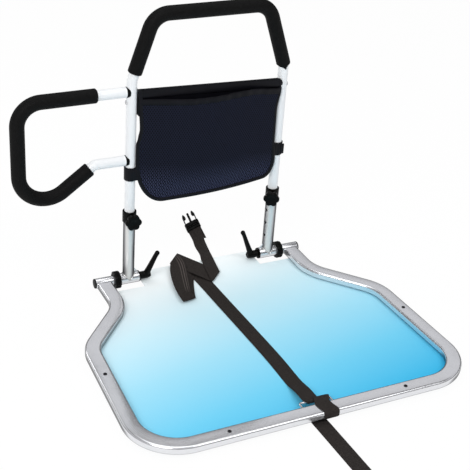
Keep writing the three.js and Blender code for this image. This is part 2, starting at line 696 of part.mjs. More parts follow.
for (const side of SIDES_OF_RAIL) {
  const turn = KNOB_TURN[side.name];
  const axisPoint = (z) => at(side.sign * POST_X, 0, z);
  const screwWay = (radius) =>
    rod(fromPost(side, turn, 0, KNOB_Z), fromPost(side, turn, CUT, KNOB_Z), radius, SMALL_SIDES);
  const saddle = rod(onAxis(side, 0), onAxis(side, DISC_OUTER), FOOT_RADIUS + GAP);
  const holes = [];
  for (let i = 0; i < HOLE_COUNT; i++) {
    const z = HOLE_TOP - i * HOLE_PITCH;
    holes.push(rod(fromPost(side, HOLE_TURN, 0, z), fromPost(side, HOLE_TURN, CUT, z), HOLE_RADIUS, SMALL_SIDES));
  }
  const post = pipe(axisPoint(HINGE_Z), axisPoint(POST_TOP), POST_RADIUS, POST_WALL);
  piece(`${side.name}_lower_post`, cut(post, saddle, ...holes, screwWay(SCREW_RADIUS + LOOSE)), chrome);

  const corner = POST_X - POST_RADIUS - GAP;
  const floorZ = HINGE_Z + FOOT_RADIUS + GAP;
  const gusset = upright(outline([
    [side.sign * corner, floorZ],
    [side.sign * (corner - GUSSET_RUN), floorZ],
    [side.sign * corner, floorZ + GUSSET_RISE],
  ]), -GUSSET_THICK / 2, GUSSET_THICK / 2);
  piece(`${side.name}_gusset`, gusset, chrome);

  const bushRadius = TUBE_RADIUS + LOOSE;
  const postRadius = POST_RADIUS + LOOSE;
  const shoulder = POST_TOP + LOOSE;
  const sleeve = turned([
    [postRadius, COLLAR_BOTTOM],
    [COLLAR_RADIUS - COLLAR_BEVEL, COLLAR_BOTTOM],
    [COLLAR_RADIUS, COLLAR_BOTTOM + COLLAR_BEVEL],
    [COLLAR_RADIUS, COLLAR_TOP - COLLAR_BEVEL],
    [COLLAR_RADIUS - COLLAR_BEVEL, COLLAR_TOP],
    [bushRadius, COLLAR_TOP],
    [bushRadius, shoulder],
    [postRadius, shoulder],
    [postRadius, COLLAR_BOTTOM],
  ], axisPoint(0), at(0, 0, 1));
  const boss = rod(fromPost(side, turn, BOSS_RADIUS, KNOB_Z), fromPost(side, turn, BOSS_REACH, KNOB_Z), BOSS_RADIUS);
  const inside = rod(axisPoint(COLLAR_BOTTOM), axisPoint(shoulder), postRadius);
  const collar = union(sleeve, cut(boss, inside));
  piece(`${side.name}_collar`, cut(collar, screwWay(SCREW_RADIUS + LOOSE)), blackPlastic);

  const knobBack = BOSS_REACH + LOOSE;
  const settings = {
    depth: KNOB_THICK - 2 * KNOB_BEVEL,
    bevelSize: KNOB_BEVEL,
    bevelThickness: KNOB_BEVEL,
    bevelSegments: 1,
  };
  const lobed = new THREE.ExtrudeGeometry(knobOutline(), settings).translate(0, 0, KNOB_BEVEL).rotateX(-Math.PI / 2);
  const heading = fromPost(side, turn, BOSS_REACH, KNOB_Z).sub(axisPoint(KNOB_Z));
  const lobedBody = solid(facing(lobed, fromPost(side, turn, knobBack, KNOB_Z), heading));
  const screwEnd = knobBack + SCREW_IN_KNOB;
  const pocket = rod(
    fromPost(side, turn, 0, KNOB_Z),
    fromPost(side, turn, screwEnd + GAP, KNOB_Z),
    SCREW_RADIUS + GAP,
    SMALL_SIDES,
  );
  piece(`${side.name}_knob`, cut(lobedBody, pocket), blackPlastic);
  piece(
    `${side.name}_knob_screw`,
    rod(
      fromPost(side, turn, TUBE_RADIUS + LOOSE, KNOB_Z),
      fromPost(side, turn, screwEnd, KNOB_Z),
      SCREW_RADIUS,
      SMALL_SIDES,
    ),
    blackSteel,
  );
}

// Upper frame: the hoop, its grip, the side handle and what fastens it

const towardRear = at(0, 1, 0);
const sideways = (out, z) => at(out, 0, z);
const tubeSection = () => roundSection(TUBE_RADIUS, TUBE_RADIUS - TUBE_WALL);
const foamSection = () => roundSection(FOAM_RADIUS, TUBE_RADIUS + LOOSE);

function crossHole(sign, z) {
  return rod(sideways(sign * (POST_X - CUT), z), sideways(sign * (POST_X + CUT), z), SCREW_RADIUS + LOOSE, SMALL_SIDES);
}

const hoopCorners = [
  { at: sideways(-POST_X, LEAN_Z), bend: LEAN_BEND },
  { at: sideways(-HOOP_X, HOOP_Z), bend: HOOP_BEND },
  { at: sideways(HOOP_X, HOOP_Z), bend: HOOP_BEND },
  { at: sideways(POST_X, LEAN_Z), bend: LEAN_BEND },
];
const framePath = new BentPath([
  { at: sideways(-POST_X, FRAME_BOTTOM) },
  ...hoopCorners,
  { at: sideways(POST_X, FRAME_BOTTOM) },
], towardRear);
const leanTurn = Math.atan2(HOOP_LEAN, HOOP_Z - LEAN_Z);
const gripAlong = LEAN_BEND * Math.tan(leanTurn / 2) + TOP_GRIP_START;
const onLean = (sign, along) =>
  sideways(sign * (POST_X - along * Math.sin(leanTurn)), LEAN_Z + along * Math.cos(leanTurn));
// On the right the grip runs on round part of the leg's bend.
const coveredTurn = leanTurn * GRIP_BEND_SHARE;
const coveredReach = LEAN_BEND * Math.tan(coveredTurn / 2);
const knee = onLean(1, LEAN_BEND * Math.tan(leanTurn / 2) - coveredReach);
const endTurn = leanTurn - coveredTurn;
const endStretch = sideways(Math.sin(endTurn), -Math.cos(endTurn)).multiplyScalar(coveredReach + TOP_GRIP_TAIL);
const gripPath = new BentPath([
  { at: onLean(-1, gripAlong) },
  ...hoopCorners.slice(1, 3),
  { at: knee, bend: LEAN_BEND },
  { at: knee.clone().add(endStretch) },
], towardRear);
const frameHoles = [
  crossHole(-1, HANDLE_TOP_Z),
  crossHole(-1, HANDLE_LOW_Z),
  crossHole(-1, POCKET_BOLT_Z),
  crossHole(1, POCKET_BOLT_Z),
];
piece('upper_frame', cut(swept(tubeSection(), framePath), ...frameHoles), whiteCoat);
piece('top_grip', swept(foamSection(), gripPath), foam);

const slant = (HANDLE_LOW_Z - HANDLE_FOOT_Z) / (HANDLE_X - HANDLE_KINK_X);
const handleCorners = [
  { at: sideways(-HANDLE_X, HANDLE_TOP_Z), bend: HANDLE_TOP_BEND },
  { at: sideways(-HANDLE_X, HANDLE_FOOT_Z), bend: HANDLE_FOOT_BEND },
];
const handlePath = new BentPath([
  { at: sideways(-HANDLE_START, HANDLE_TOP_Z) },
  ...handleCorners,
  { at: sideways(-HANDLE_KINK_X, HANDLE_LOW_Z), bend: HANDLE_KINK_BEND },
  { at: sideways(-HANDLE_START, HANDLE_LOW_Z) },
], towardRear);
const sideGripPath = new BentPath([
  { at: sideways(-POST_X - SIDE_GRIP_TOP, HANDLE_TOP_Z) },
  ...handleCorners,
  { at: sideways(-HANDLE_KINK_X - SIDE_GRIP_LOW, HANDLE_LOW_Z - slant * SIDE_GRIP_LOW) },
], towardRear);
piece('side_handle', swept(tubeSection(), handlePath), whiteCoat);
piece('side_grip', swept(foamSection(), sideGripPath), foam);

const legRod = rod(at(-POST_X, 0, FRAME_BOTTOM), at(-POST_X, 0, LEAN_Z), TUBE_RADIUS + LOOSE);
for (const [name, z] of [['upper', HANDLE_TOP_Z], ['lower', HANDLE_LOW_Z]]) {
  const blank = rod(sideways(-POST_X - SADDLE_INNER, z), sideways(GAP - HANDLE_START, z), SADDLE_RADIUS);
  piece(`${name}_saddle`, cut(blank, legRod, crossHole(-1, z)), blackPlastic);

  const plugStart = HANDLE_START + GAP;
  const bore = TUBE_RADIUS - TUBE_WALL - LOOSE;
  piece(
    `${name}_handle_plug`,
    pipe(sideways(-plugStart, z), sideways(-plugStart - PLUG_LENGTH, z), bore, bore - SCREW_RADIUS - GAP, SIDES),
    blackPlastic,
  );

  const headFace = POST_X - TUBE_RADIUS - GAP;
  const headCentre = headFace - HEAD_THICK;
  const handleBolt = union(
    rod(sideways(-headCentre, z), sideways(-POST_X - HANDLE_BOLT_REACH, z), SCREW_RADIUS, SMALL_SIDES),
    rod(sideways(-headFace, z), sideways(-headCentre, z), HEAD_RADIUS, SIDES, HEAD_RADIUS - HEAD_THICK / 2),
  );
  piece(`${name}_handle_bolt`, handleBolt, chrome);
}

// Pocket, its bolts and bands

function pocketOutline(inset) {
  const bottom = POCKET_BOTTOM + inset;
  const top = inset ? POCKET_TOP + CUT : POCKET_TOP;
  const shape = new THREE.Shape();
  shape.moveTo(-POCKET_FLAT_X, bottom);
  shape.lineTo(POCKET_FLAT_X, bottom);
  shape.quadraticCurveTo(POCKET_HIP.x - inset, bottom, POCKET_HIP.x - inset, POCKET_HIP.z);
  shape.lineTo(POCKET_WAIST.x - inset, POCKET_WAIST.z);
  shape.lineTo(POCKET_TOP_X - inset, top);
  shape.lineTo(inset - POCKET_TOP_X, top);
  shape.lineTo(inset - POCKET_WAIST.x, POCKET_WAIST.z);
  shape.lineTo(inset - POCKET_HIP.x, POCKET_HIP.z);
  shape.quadraticCurveTo(inset - POCKET_HIP.x, bottom, -POCKET_FLAT_X, bottom);
  return shape;
}

function pocketLens(inset) {
  const half = POCKET_HIP.x + CUT / 4;
  const back = POCKET_BACK_Y - inset;
  const side = POCKET_SIDE_Y + inset;
  const shape = new THREE.Shape();
  shape.moveTo(-half, back);
  shape.lineTo(-half, Math.min(side, back - GAP));
  shape.quadraticCurveTo(0, POCKET_SIDE_Y + inset - 2 * POCKET_BULGE, half, Math.min(side, back - GAP));
  shape.lineTo(half, back);
  return shape;
}

function pocketBody(inset) {
  const top = POCKET_TOP + 2 * CUT;
  const lens = raised(pocketLens(inset), POCKET_BOTTOM - CUT, top);
  return lens.intersect(upright(pocketOutline(inset), -2 * CUT, CUT));
}

function pocket() {
  const rim = new THREE.Shape();
  rim.moveTo(-POST_X, POCKET_RIM_SIDE_Z + BAND_HEIGHT);
  rim.lineTo(-POST_X, POCKET_RIM_SIDE_Z);
  rim.quadraticCurveTo(0, POCKET_RIM_MID_Z, POST_X, POCKET_RIM_SIDE_Z);
  rim.lineTo(POST_X, POCKET_RIM_SIDE_Z + BAND_HEIGHT);
  const mouth = upright(rim, -2 * CUT, POCKET_BACK_Y - POCKET_WALL);
  let body = cut(pocketBody(0), pocketBody(POCKET_WALL), mouth);
  for (const side of SIDES_OF_RAIL) {
    const xs = [TAB_OUTER, TAB_OUTER - TAB_THICK].map((x) => side.sign * x);
    const tab = box(
      at(Math.min(...xs), TAB_FRONT_Y, POCKET_BOLT_Z - TAB_HALF),
      at(Math.max(...xs), TAB_BACK_Y, POCKET_BOLT_Z + TAB_HALF),
    );
    const webXs = [TAB_OUTER, POCKET_WAIST.x].map((x) => side.sign * x);
    const web = box(
      at(Math.min(...webXs), POCKET_BACK_Y - POCKET_WALL, POCKET_BOLT_Z - TAB_HALF),
      at(Math.max(...webXs), POCKET_BACK_Y, POCKET_BOLT_Z + TAB_HALF),
    );
    body = union(body, cut(union(tab, web), crossHole(side.sign, POCKET_BOLT_Z)));
  }
  return body;
}

piece('pocket', pocket(), pocketCloth);

for (const side of SIDES_OF_RAIL) {
  const z = POCKET_BOLT_Z;
  const point = (out) => sideways(side.sign * out, z);
  const headFace = POST_X + TUBE_RADIUS + GAP;
  const pocketBolt = union(
    rod(point(POST_X - POCKET_BOLT_REACH), point(headFace + HEAD_THICK / 2), SCREW_RADIUS, SMALL_SIDES),
    rod(point(headFace), point(headFace + HEAD_THICK), HEAD_RADIUS, SIDES, HEAD_RADIUS - HEAD_THICK / 2),
  );
  piece(`${side.name}_pocket_bolt`, pocketBolt, chrome);
  const nutFace = TAB_OUTER - TAB_THICK - GAP;
  const nut = rod(point(nutFace), point(nutFace - NUT_THICK), NUT_RADIUS, HEX);
  piece(`${side.name}_pocket_nut`, cut(nut, crossHole(side.sign, z)), blackSteel);

  const bottom = BAND_Z[side.name];
  const axis = (height) => at(side.sign * POST_X, 0, height);
  const ring = pipe(axis(bottom), axis(bottom + BAND_HEIGHT), BAND_RADIUS, BAND_RADIUS - TUBE_RADIUS - LOOSE);
  const flapX = [POST_X + BAND_RADIUS / 3, POST_X + BAND_RADIUS / 3 + FLAP.width].map((x) => side.sign * x);
  const flapFront = -BAND_RADIUS - FLAP.thick / 4;
  const flapBottom = bottom + (BAND_HEIGHT - FLAP.height) / 2;
  const flap = box(
    at(Math.min(...flapX), flapFront, flapBottom),
    at(Math.max(...flapX), flapFront + 2 * FLAP.thick, flapBottom + FLAP.height),
  );
  const hollow = rod(axis(bottom - CUT), axis(bottom + BAND_HEIGHT + CUT), TUBE_RADIUS + LOOSE);
  const band = side.sign > 0 ? cut(union(ring, flap), hollow) : ring;
  piece(`${side.name}_pocket_band`, band, pocketCloth);
}

// Strap: one band of webbing, from the male buckle half through the pile, over the loop and the
// front bar, out along the floor and into a roll round the other buckle half

const toRow = ([left, right]) => [at(...left), at(...right)];

// The half circle of a fold between the last row of one layer and the first of the next.
function fold(before, after, outwards) {
  return [1 / 4, 1 / 2, 3 / 4].map((share) => {
    const lift = Math.sin(Math.PI * share) * FOLD_RISE;
    const blend = (1 - Math.cos(Math.PI * share)) / 2;
    return before.map((edge, i) => edge.clone().lerp(after[i], blend).addScaledVector(outwards, lift));
  });
}

// Which way a fold bulges: on from the middle of the row before the last.
function onward(rows) {
  const [last, before] = [rows.at(-1), rows.at(-2)];
  const middle = (row) => row[0].clone().add(row[1]);
  const edge = last[1].clone().sub(last[0]).normalize();
  const run = middle(last).sub(middle(before));
  run.addScaledVector(edge, -run.dot(edge));
  return run.setZ(0).normalize();
}

function layered(layers) {
  const rows = [];
  layers.forEach((layer) => {
    const next = layer.map(toRow);
    if (rows.length) rows.push(...fold(rows.at(-1), next[0], onward(rows)));
    rows.push(...next);
  });
  return rows;
}

const strapAcross = (x, y, z) => [at(x - STRAP_WIDTH / 2, y, z), at(x + STRAP_WIDTH / 2, y, z)];

// One turn round the wire, from its top down the gap to the bar, under and up again.
function wrapRows() {
  const rows = [];
  for (let i = 0; i <= WRAP_STEPS; i++) {
    const share = i / WRAP_STEPS;
    const angle = 2 * Math.PI * share;
    const radius = WIRE_RADIUS + STRAP_THICK / 2 + LOOSE + WRAP_RISE * share;
    const x = WRAP_START_X + (WRAP_END_X - WRAP_START_X) * share;
    rows.push(strapAcross(x, WIRE_Y - radius * Math.sin(angle), WIRE_Z + radius * Math.cos(angle)));
  }
  return rows;
}

// Over the front bar, down its face, under it and back out along the floor.
function barRows() {
  const off = STRAP_THICK / 2 + 2 * GAP;
  const edgeY = FRONT_Y - BASE_WIDTH / 2 + BASE_EDGE;
  const topZ = BASE_BOTTOM + BASE_HEIGHT;
  const reach = BASE_EDGE + off;
  const rows = [strapAcross(BAR_X.inner, FRONT_Y + BAR_BACK.top, topZ + off), strapAcross(BAR_X.top, edgeY, topZ + off)];
  const quarter = Math.PI / 2;
  for (const share of [1 / 3, 2 / 3, 1]) {
    const angle = quarter * share;
    const z = topZ - BASE_EDGE + reach * Math.cos(angle);
    rows.push(strapAcross(BAR_X.outer, edgeY - reach * Math.sin(angle), z));
  }
  for (const share of [0, 1 / 3, 2 / 3, 1]) {
    const angle = quarter * share;
    const z = BASE_BOTTOM + BASE_EDGE - reach * Math.sin(angle);
    rows.push(strapAcross(BAR_X.outer, edgeY - reach * Math.cos(angle), z));
  }
  const highZ = BASE_BOTTOM - off;
  const turn = (highZ - FLOOR_STRAP_Z) / 2;
  for (const share of [0, 1 / 4, 1 / 2, 3 / 4, 1]) {
    const angle = Math.PI * share;
    const x = BAR_X.under + (FRONT_RUN[0].x - BAR_X.under) * share;
    rows.push(strapAcross(x, FRONT_Y + BAR_BACK.under + turn * Math.sin(angle), FLOOR_STRAP_Z + turn + turn * Math.cos(angle)));
  }
  rows.push(strapAcross(FRONT_RUN[0].x, FRONT_RUN[0].y, FLOOR_STRAP_Z));
  rows.push(strapAcross(FRONT_RUN[1].x, FRONT_RUN[1].y, FLOOR_STRAP_Z));
  return rows;
}

// The roll: a flat spiral that closes in by one pitch a turn.
function rollRows() {
  const rows = [];
  const count = Math.round(ROLL_TURNS * ROLL_STEPS);
  for (let i = 0; i <= count; i++) {
    const turns = i / ROLL_STEPS;
    const radius = ROLL_RADIUS - ROLL_PITCH * turns;
    const angle = 2 * Math.PI * turns;
    const y = ROLL_Y - radius * Math.sin(angle);
    const z = FLOOR_STRAP_Z + ROLL_RADIUS - radius * Math.cos(angle);
    rows.push(strapAcross(ROLL_X, y, z));
  }
  return rows;
}

// The least distance between turns of the roll, from its middle surface less one thickness.
function rollGap(rows) {
  let least = Infinity;
  rows.forEach((row, i) => {
    for (let j = i + ROLL_STEPS / 2; j + 1 < rows.length; j++) {
      const line = new THREE.Line3(rows[j][0], rows[j + 1][0]);
      const nearest = line.closestPointToPoint(row[0], true, at(0, 0, 0));
      least = Math.min(least, nearest.distanceTo(row[0]) - STRAP_THICK);
    }
  });
  return least;
}

const pile = layered([STRAP_BEHIND, STRAP_ACROSS, STRAP_DOWN, STRAP_SECOND, STRAP_THIRD, STRAP_FOURTH, STRAP_LONG]);
piece('strap_rear_run', ribbon([...pile, ...wrapRows(), ...barRows()]), webbing);

const rollLine = rollRows();
const frontRun = FRONT_RUN.slice(1).map(({ x, y }) => strapAcross(x, y, FLOOR_STRAP_Z));
frontRun[0].forEach((edge) => edge.setY(FRONT_RUN[1].y - GAP));
frontRun.push(strapAcross(ROLL_X, ROLL_Y + 2 * GAP, FLOOR_STRAP_Z));
piece('strap_front_run', ribbon(frontRun), webbing);
piece('strap_roll', ribbon(rollLine), webbing);
console.log(`least gap between turns of the strap roll: ${rollGap(rollLine).toFixed(2)} mm`);

// Buckle halves

function maleBuckle() {
  const half = PRONG.thick / 2;
  const plate = new THREE.Shape();
  plate.moveTo(-BUCKLE_HALF, 0);
  plate.lineTo(BUCKLE_HALF, 0);
  plate.lineTo(BUCKLE_HALF, BUCKLE_BODY);
  plate.lineTo(-BUCKLE_HALF, BUCKLE_BODY);
  const slots = [[SLOT.from, SLOT.to], [SLOT.second, SLOT.secondTo]].map(([from, to]) =>
    box(at(-SLOT.half, from, -CUT), at(SLOT.half, to, CUT)));
  const body = cut(raised(plate, -BUCKLE_THICK / 2, BUCKLE_THICK / 2), ...slots);
  const base = BUCKLE_BODY - PRONG.thick;
  const guide = raised(outline([
    [-PRONG.guide, base],
    [PRONG.guide, base],
    [PRONG.guide, PRONG.reach],
    [-PRONG.guide, PRONG.reach],
  ]), -half, half);
  const prongs = [-1, 1].map((sign) => raised(outline([
    [sign * PRONG.inner, base],
    [sign * PRONG.outer, base],
    [sign * PRONG.outer, PRONG.barbRoot],
    [sign * PRONG.barb, PRONG.barbRoot],
    [sign * PRONG.outer, PRONG.reach],
    [sign * PRONG.inner, PRONG.reach],
  ]), -half, half));
  return union(body, guide, ...prongs);
}

const maleMesh = piece('male_buckle', maleBuckle(), blackPlastic);
maleMesh.rotation.order = 'ZYX';
maleMesh.rotation.set(0, -THREE.MathUtils.degToRad(BUCKLE_ROLL), -THREE.MathUtils.degToRad(BUCKLE_HEADING));
maleMesh.position.set(BUCKLE_CENTRE.x, BUCKLE_CENTRE.y, BUCKLE_CENTRE.z);

function femaleBuckle() {
  const half = SOCKET.thick / 2;
  const high = SOCKET.mouthHigh / 2;
  const shell = box(at(-SOCKET.half, 0, -half), at(SOCKET.half, SOCKET.length, half));
  const mouth = box(at(-SOCKET.mouth, -CUT, -high), at(SOCKET.mouth, SOCKET.depth, high));
  const windows = box(at(-CUT, SOCKET_WINDOW.from, -high), at(CUT, SOCKET_WINDOW.to, high));
  const slot = box(at(-SOCKET_SLOT.half, SOCKET_SLOT.from, -CUT), at(SOCKET_SLOT.half, SOCKET_SLOT.to, CUT));
  return cut(shell, mouth, windows, slot);
}

const femaleMesh = piece('female_buckle', femaleBuckle(), blackPlastic);
femaleMesh.position.set(ROLL_X, ROLL_Y - SOCKET.length / 2, FLOOR_STRAP_Z + ROLL_RADIUS);

// The origin lies on the floor, in the middle of everything but the strap and its buckle.
const STRAP_PIECES = ['strap_rear_run', 'strap_front_run', 'strap_roll', 'male_buckle', 'female_buckle'];
const extent = new THREE.Box3();
for (const mesh of rail.children) {
  if (!STRAP_PIECES.includes(mesh.name)) extent.expandByObject(mesh, true);
}
const middle = extent.getCenter(new THREE.Vector3());
for (const mesh of rail.children) {
  mesh.position.x -= middle.x;
  mesh.position.y -= middle.y;
}

export default rail;
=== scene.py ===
# Bed rail: looks, soft goods and studio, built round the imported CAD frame.
# Lengths in the dictionaries are millimetres from the rail's middle, the uprights' plane and the floor.
import bpy
import bmesh
import math
from mathutils import Matrix, Vector


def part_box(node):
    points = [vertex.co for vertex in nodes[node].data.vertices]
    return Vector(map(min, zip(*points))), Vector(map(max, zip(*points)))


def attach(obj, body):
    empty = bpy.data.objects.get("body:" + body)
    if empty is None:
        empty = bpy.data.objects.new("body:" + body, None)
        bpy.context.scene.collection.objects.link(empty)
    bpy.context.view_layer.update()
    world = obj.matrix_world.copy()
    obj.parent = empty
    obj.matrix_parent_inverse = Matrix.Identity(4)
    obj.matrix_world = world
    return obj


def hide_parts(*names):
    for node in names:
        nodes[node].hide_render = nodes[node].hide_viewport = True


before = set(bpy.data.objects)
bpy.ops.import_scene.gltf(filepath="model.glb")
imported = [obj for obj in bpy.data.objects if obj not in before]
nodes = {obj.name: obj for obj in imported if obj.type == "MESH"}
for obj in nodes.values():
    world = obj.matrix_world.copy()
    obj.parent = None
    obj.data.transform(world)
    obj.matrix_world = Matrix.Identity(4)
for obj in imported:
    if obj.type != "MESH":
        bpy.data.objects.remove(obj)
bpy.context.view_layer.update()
mm = 0.001
sides = (("left", -1), ("right", 1))
zAxis = (0, 0, 1)

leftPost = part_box("left_lower_post")
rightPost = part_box("right_lower_post")
middle = Vector(((leftPost[0].x + rightPost[1].x) / 2, (leftPost[0].y + leftPost[1].y) / 2, 0))
rail = {"postX": 200, "hingeZ": 23}


def place(point):
    return Vector(point) * mm + middle


def linear(code):
    def channel(pair):
        value = int(pair, 16) / 255
        return value / 12.92 if value <= 0.04045 else ((value + 0.055) / 1.055) ** 2.4
    return tuple(channel(code[i:i + 2]) for i in (1, 3, 5)) + (1,)


# Adds a node. A link is a value, a socket or a node, which stands for its first output; stops fill the node's
# colour ramp; its own first output goes into the given socket.
def addNode(tree, kind, links=None, stops=None, into=None, **settings):
    node = tree.nodes.new(kind)
    for name, value in settings.items():
        setattr(node, name, value)
    for socket, value in (links or {}).items():
        if isinstance(value, bpy.types.Node):
            value = value.outputs[0]
        if isinstance(value, bpy.types.NodeSocket):
            tree.links.new(value, node.inputs[socket])
        else:
            node.inputs[socket].default_value = value
    if stops:
        first, last = node.color_ramp.elements
        for element, (position, colour) in ((first, stops[0]), (last, stops[-1])):
            element.position, element.color = position, linear(colour)
        for position, colour in stops[1:-1]:
            node.color_ramp.elements.new(position).color = linear(colour)
    if into:
        tree.links.new(node.outputs[0], into)
    return node


# Camera, at the photograph's viewing angle
view = {
    "eye": (-1089, -2278, 1540),
    "right": (0.9007284, -0.4297565, 0.06322735),
    "up": (0.16207265, 0.4675375, 0.86898857),
    "forward": (0.40301465, 0.77247527, -0.49077608),
    "lens": 85.42,
    "sensor": 36,
}


def makeCamera():
    data = bpy.data.cameras.new("photoCamera")
    data.lens = view["lens"]
    data.sensor_width = view["sensor"]
    data.sensor_fit = "HORIZONTAL"
    data.clip_end = 100
    camera = bpy.data.objects.new("photoCamera", data)
    bpy.context.scene.collection.objects.link(camera)
    columns = [Vector(view["right"]), Vector(view["up"]), -Vector(view["forward"])]
    turn = Matrix([[column[row] for column in columns] for row in range(3)]).to_4x4()
    camera.matrix_world = Matrix.Translation(place(view["eye"])) @ turn
    bpy.context.scene.camera = camera


makeCamera()
print("camera set")


# Meshes

def linkMesh(name, mesh, material=None):
    piece = bpy.data.objects.new(name, mesh)
    bpy.context.scene.collection.objects.link(piece)
    if material:
        mesh.materials.clear()
        mesh.materials.append(material)
    return piece


def meshFrom(name, shape):
    mesh = bpy.data.meshes.new(name)
    shape.to_mesh(mesh)
    shape.free()
    return mesh


# Merges doubles, turns the faces outwards and keeps edges sharper than the angle crisp.
def finishMesh(mesh, sharp=32, recalc=True):
    shape = bmesh.new()
    shape.from_mesh(mesh)
    bmesh.ops.remove_doubles(shape, verts=shape.verts, dist=1e-6)
    bmesh.ops.dissolve_degenerate(shape, edges=shape.edges, dist=1e-7)
    if recalc:
        bmesh.ops.recalc_face_normals(shape, faces=shape.faces)
    limit = math.radians(sharp)
    for face in shape.faces:
        face.smooth = True
    for edge in shape.edges:
        edge.smooth = len(edge.link_faces) == 2 and edge.calc_face_angle(0) < limit
    shape.to_mesh(mesh)
    shape.free()
    mesh.update()


# A skin through closed rows of points, in metres: capped, or ringed from the last row to the first.
def rowsPiece(name, rows, material, ringed=False, sharp=32):
    shape = bmesh.new()
    grid = [[shape.verts.new(point) for point in row] for row in rows]
    width = len(grid[0])
    for i in range(len(grid) if ringed else len(grid) - 1):
        a, b = grid[i], grid[(i + 1) % len(grid)]
        for j in range(width):
            k = (j + 1) % width
            shape.faces.new((a[j], a[k], b[k], b[j]))
    if not ringed:
        shape.faces.new(grid[0])
        shape.faces.new(list(reversed(grid[-1])))
    mesh = meshFrom(name, shape)
    finishMesh(mesh, sharp)
    return linkMesh(name, mesh, material)


# Quads between rows of (vertex, u, v); closed rows join their last corner to their first.
def clothFaces(shape, uvLayer, grid, closed=False):
    width = len(grid[0])
    for row, following in zip(grid, grid[1:]):
        for i in range(width if closed else width - 1):
            k = (i + 1) % width
            corners = (row[i], row[k], following[k], following[i])
            face = shape.faces.new([corner[0] for corner in corners])
            for loop, corner in zip(face.loops, corners):
                loop[uvLayer].uv = corner[1:]


def circle(count):
    return [2 * math.pi * i / count for i in range(count)]


def axisFrame(direction):
    axis = Vector(direction).normalized()
    guide = Vector((0, 0, 1)) if abs(axis.z) < 0.9 else Vector((0, 1, 0))
    first = axis.cross(guide).normalized()
    return axis, first, axis.cross(first)


# A turned piece: the profile is (radius, distance along the axis); ringed closes it round a bore.
def turnedPiece(name, profile, origin, direction, material, count=64, ringed=False):
    axis, first, second = axisFrame(direction)
    rows = []
    for radius, along in profile:
        centre = Vector(origin) + axis * along
        rows.append([place(centre + (first * math.cos(a) + second * math.sin(a)) * radius)
                     for a in circle(count)])
    return rowsPiece(name, rows, material, ringed)


# The profile of a plain round bar with softened ends.
def barProfile(radius, start, end, edge):
    turns = [math.pi / 2 * i / 4 for i in range(1, 4)]
    profile = [(0, start), (radius - edge, start)]
    profile += [(radius - edge + edge * math.sin(a), start + edge - edge * math.cos(a)) for a in turns]
    profile += [(radius, start + edge), (radius, end - edge)]
    profile += [(radius - edge + edge * math.cos(a), end - edge + edge * math.sin(a)) for a in turns]
    return profile + [(radius - edge, end), (0, end)]


def sleevePiece(name, outer, inner, start, end, edge, origin, direction, material, count=96):
    profile = [(inner, start), *barProfile(outer, start, end, edge)[1:-1], (inner, end)]
    return turnedPiece(name, profile, origin, direction, material, count, True)


# A flat outline with thickness and softened edges, placed by a matrix whose Z is the thickness.
def platePiece(name, outline, low, high, material, edge, turn=None):
    shape = bmesh.new()
    bottom = [shape.verts.new((x, y, low)) for x, y in outline]
    top = [shape.verts.new((x, y, high)) for x, y in outline]
    shape.faces.new(list(reversed(bottom)))
    shape.faces.new(top)
    count = len(outline)
    for i in range(count):
        k = (i + 1) % count
        shape.faces.new((bottom[i], bottom[k], top[k], top[i]))
    bmesh.ops.recalc_face_normals(shape, faces=shape.faces)
    if edge:
        crisp = [e for e in shape.edges if e.calc_face_angle(0) > math.radians(25)]
        bmesh.ops.bevel(shape, geom=crisp, offset=edge, segments=3, profile=0.5, affect="EDGES",
                        clamp_overlap=True)
    mesh = meshFrom(name, shape)
    mesh.transform(turn or Matrix.Identity(4))
    mesh.transform(Matrix.Translation(middle) @ Matrix.Scale(mm, 4))
    finishMesh(mesh)
    return linkMesh(name, mesh, material)


def boxPiece(name, low, high, material, edge, turn=None):
    outline = [(low[0], low[1]), (high[0], low[1]), (high[0], high[1]), (low[0], high[1])]
    return platePiece(name, outline, low[2], high[2], material, edge, turn)


def joinPieces(name, pieces):
    shape = bmesh.new()
    for piece in pieces:
        shape.from_mesh(piece.data)
    material = pieces[0].data.materials[0]
    for piece in pieces:
        bpy.data.objects.remove(piece)
    return linkMesh(name, meshFrom(name, shape), material)


# Replaces live modifiers by the plain mesh that they give.
def settle(piece, sharp=32, recalc=False):
    bpy.context.view_layer.update()
    evaluated = piece.evaluated_get(bpy.context.evaluated_depsgraph_get())
    mesh = bpy.data.meshes.new_from_object(evaluated)
    piece.modifiers.clear()
    piece.data = mesh
    finishMesh(mesh, sharp, recalc)
    return piece


def carve(piece, tools):
    for tool in tools:
        modifier = piece.modifiers.new("carve", "BOOLEAN")
        modifier.operation = "DIFFERENCE"
        modifier.solver = "EXACT"
        modifier.object = tool
    settle(piece)
    for tool in tools:
        bpy.data.objects.remove(tool)
    return piece


# Melts joined lumps into one moulded body with soft inner corners.
def mould(piece, grain, rounds):
    remesh = piece.modifiers.new("mould", "REMESH")
    remesh.mode = "VOXEL"
    remesh.voxel_size = grain * mm
    remesh.use_smooth_shade = True
    soften = piece.modifiers.new("soften", "SMOOTH")
    soften.factor = 0.5
    soften.iterations = rounds
    return settle(piece, 60)


def mount(piece, body, slotName, *cadNodes):
    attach(piece, body)
    if cadNodes:
        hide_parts(*cadNodes)
    return piece


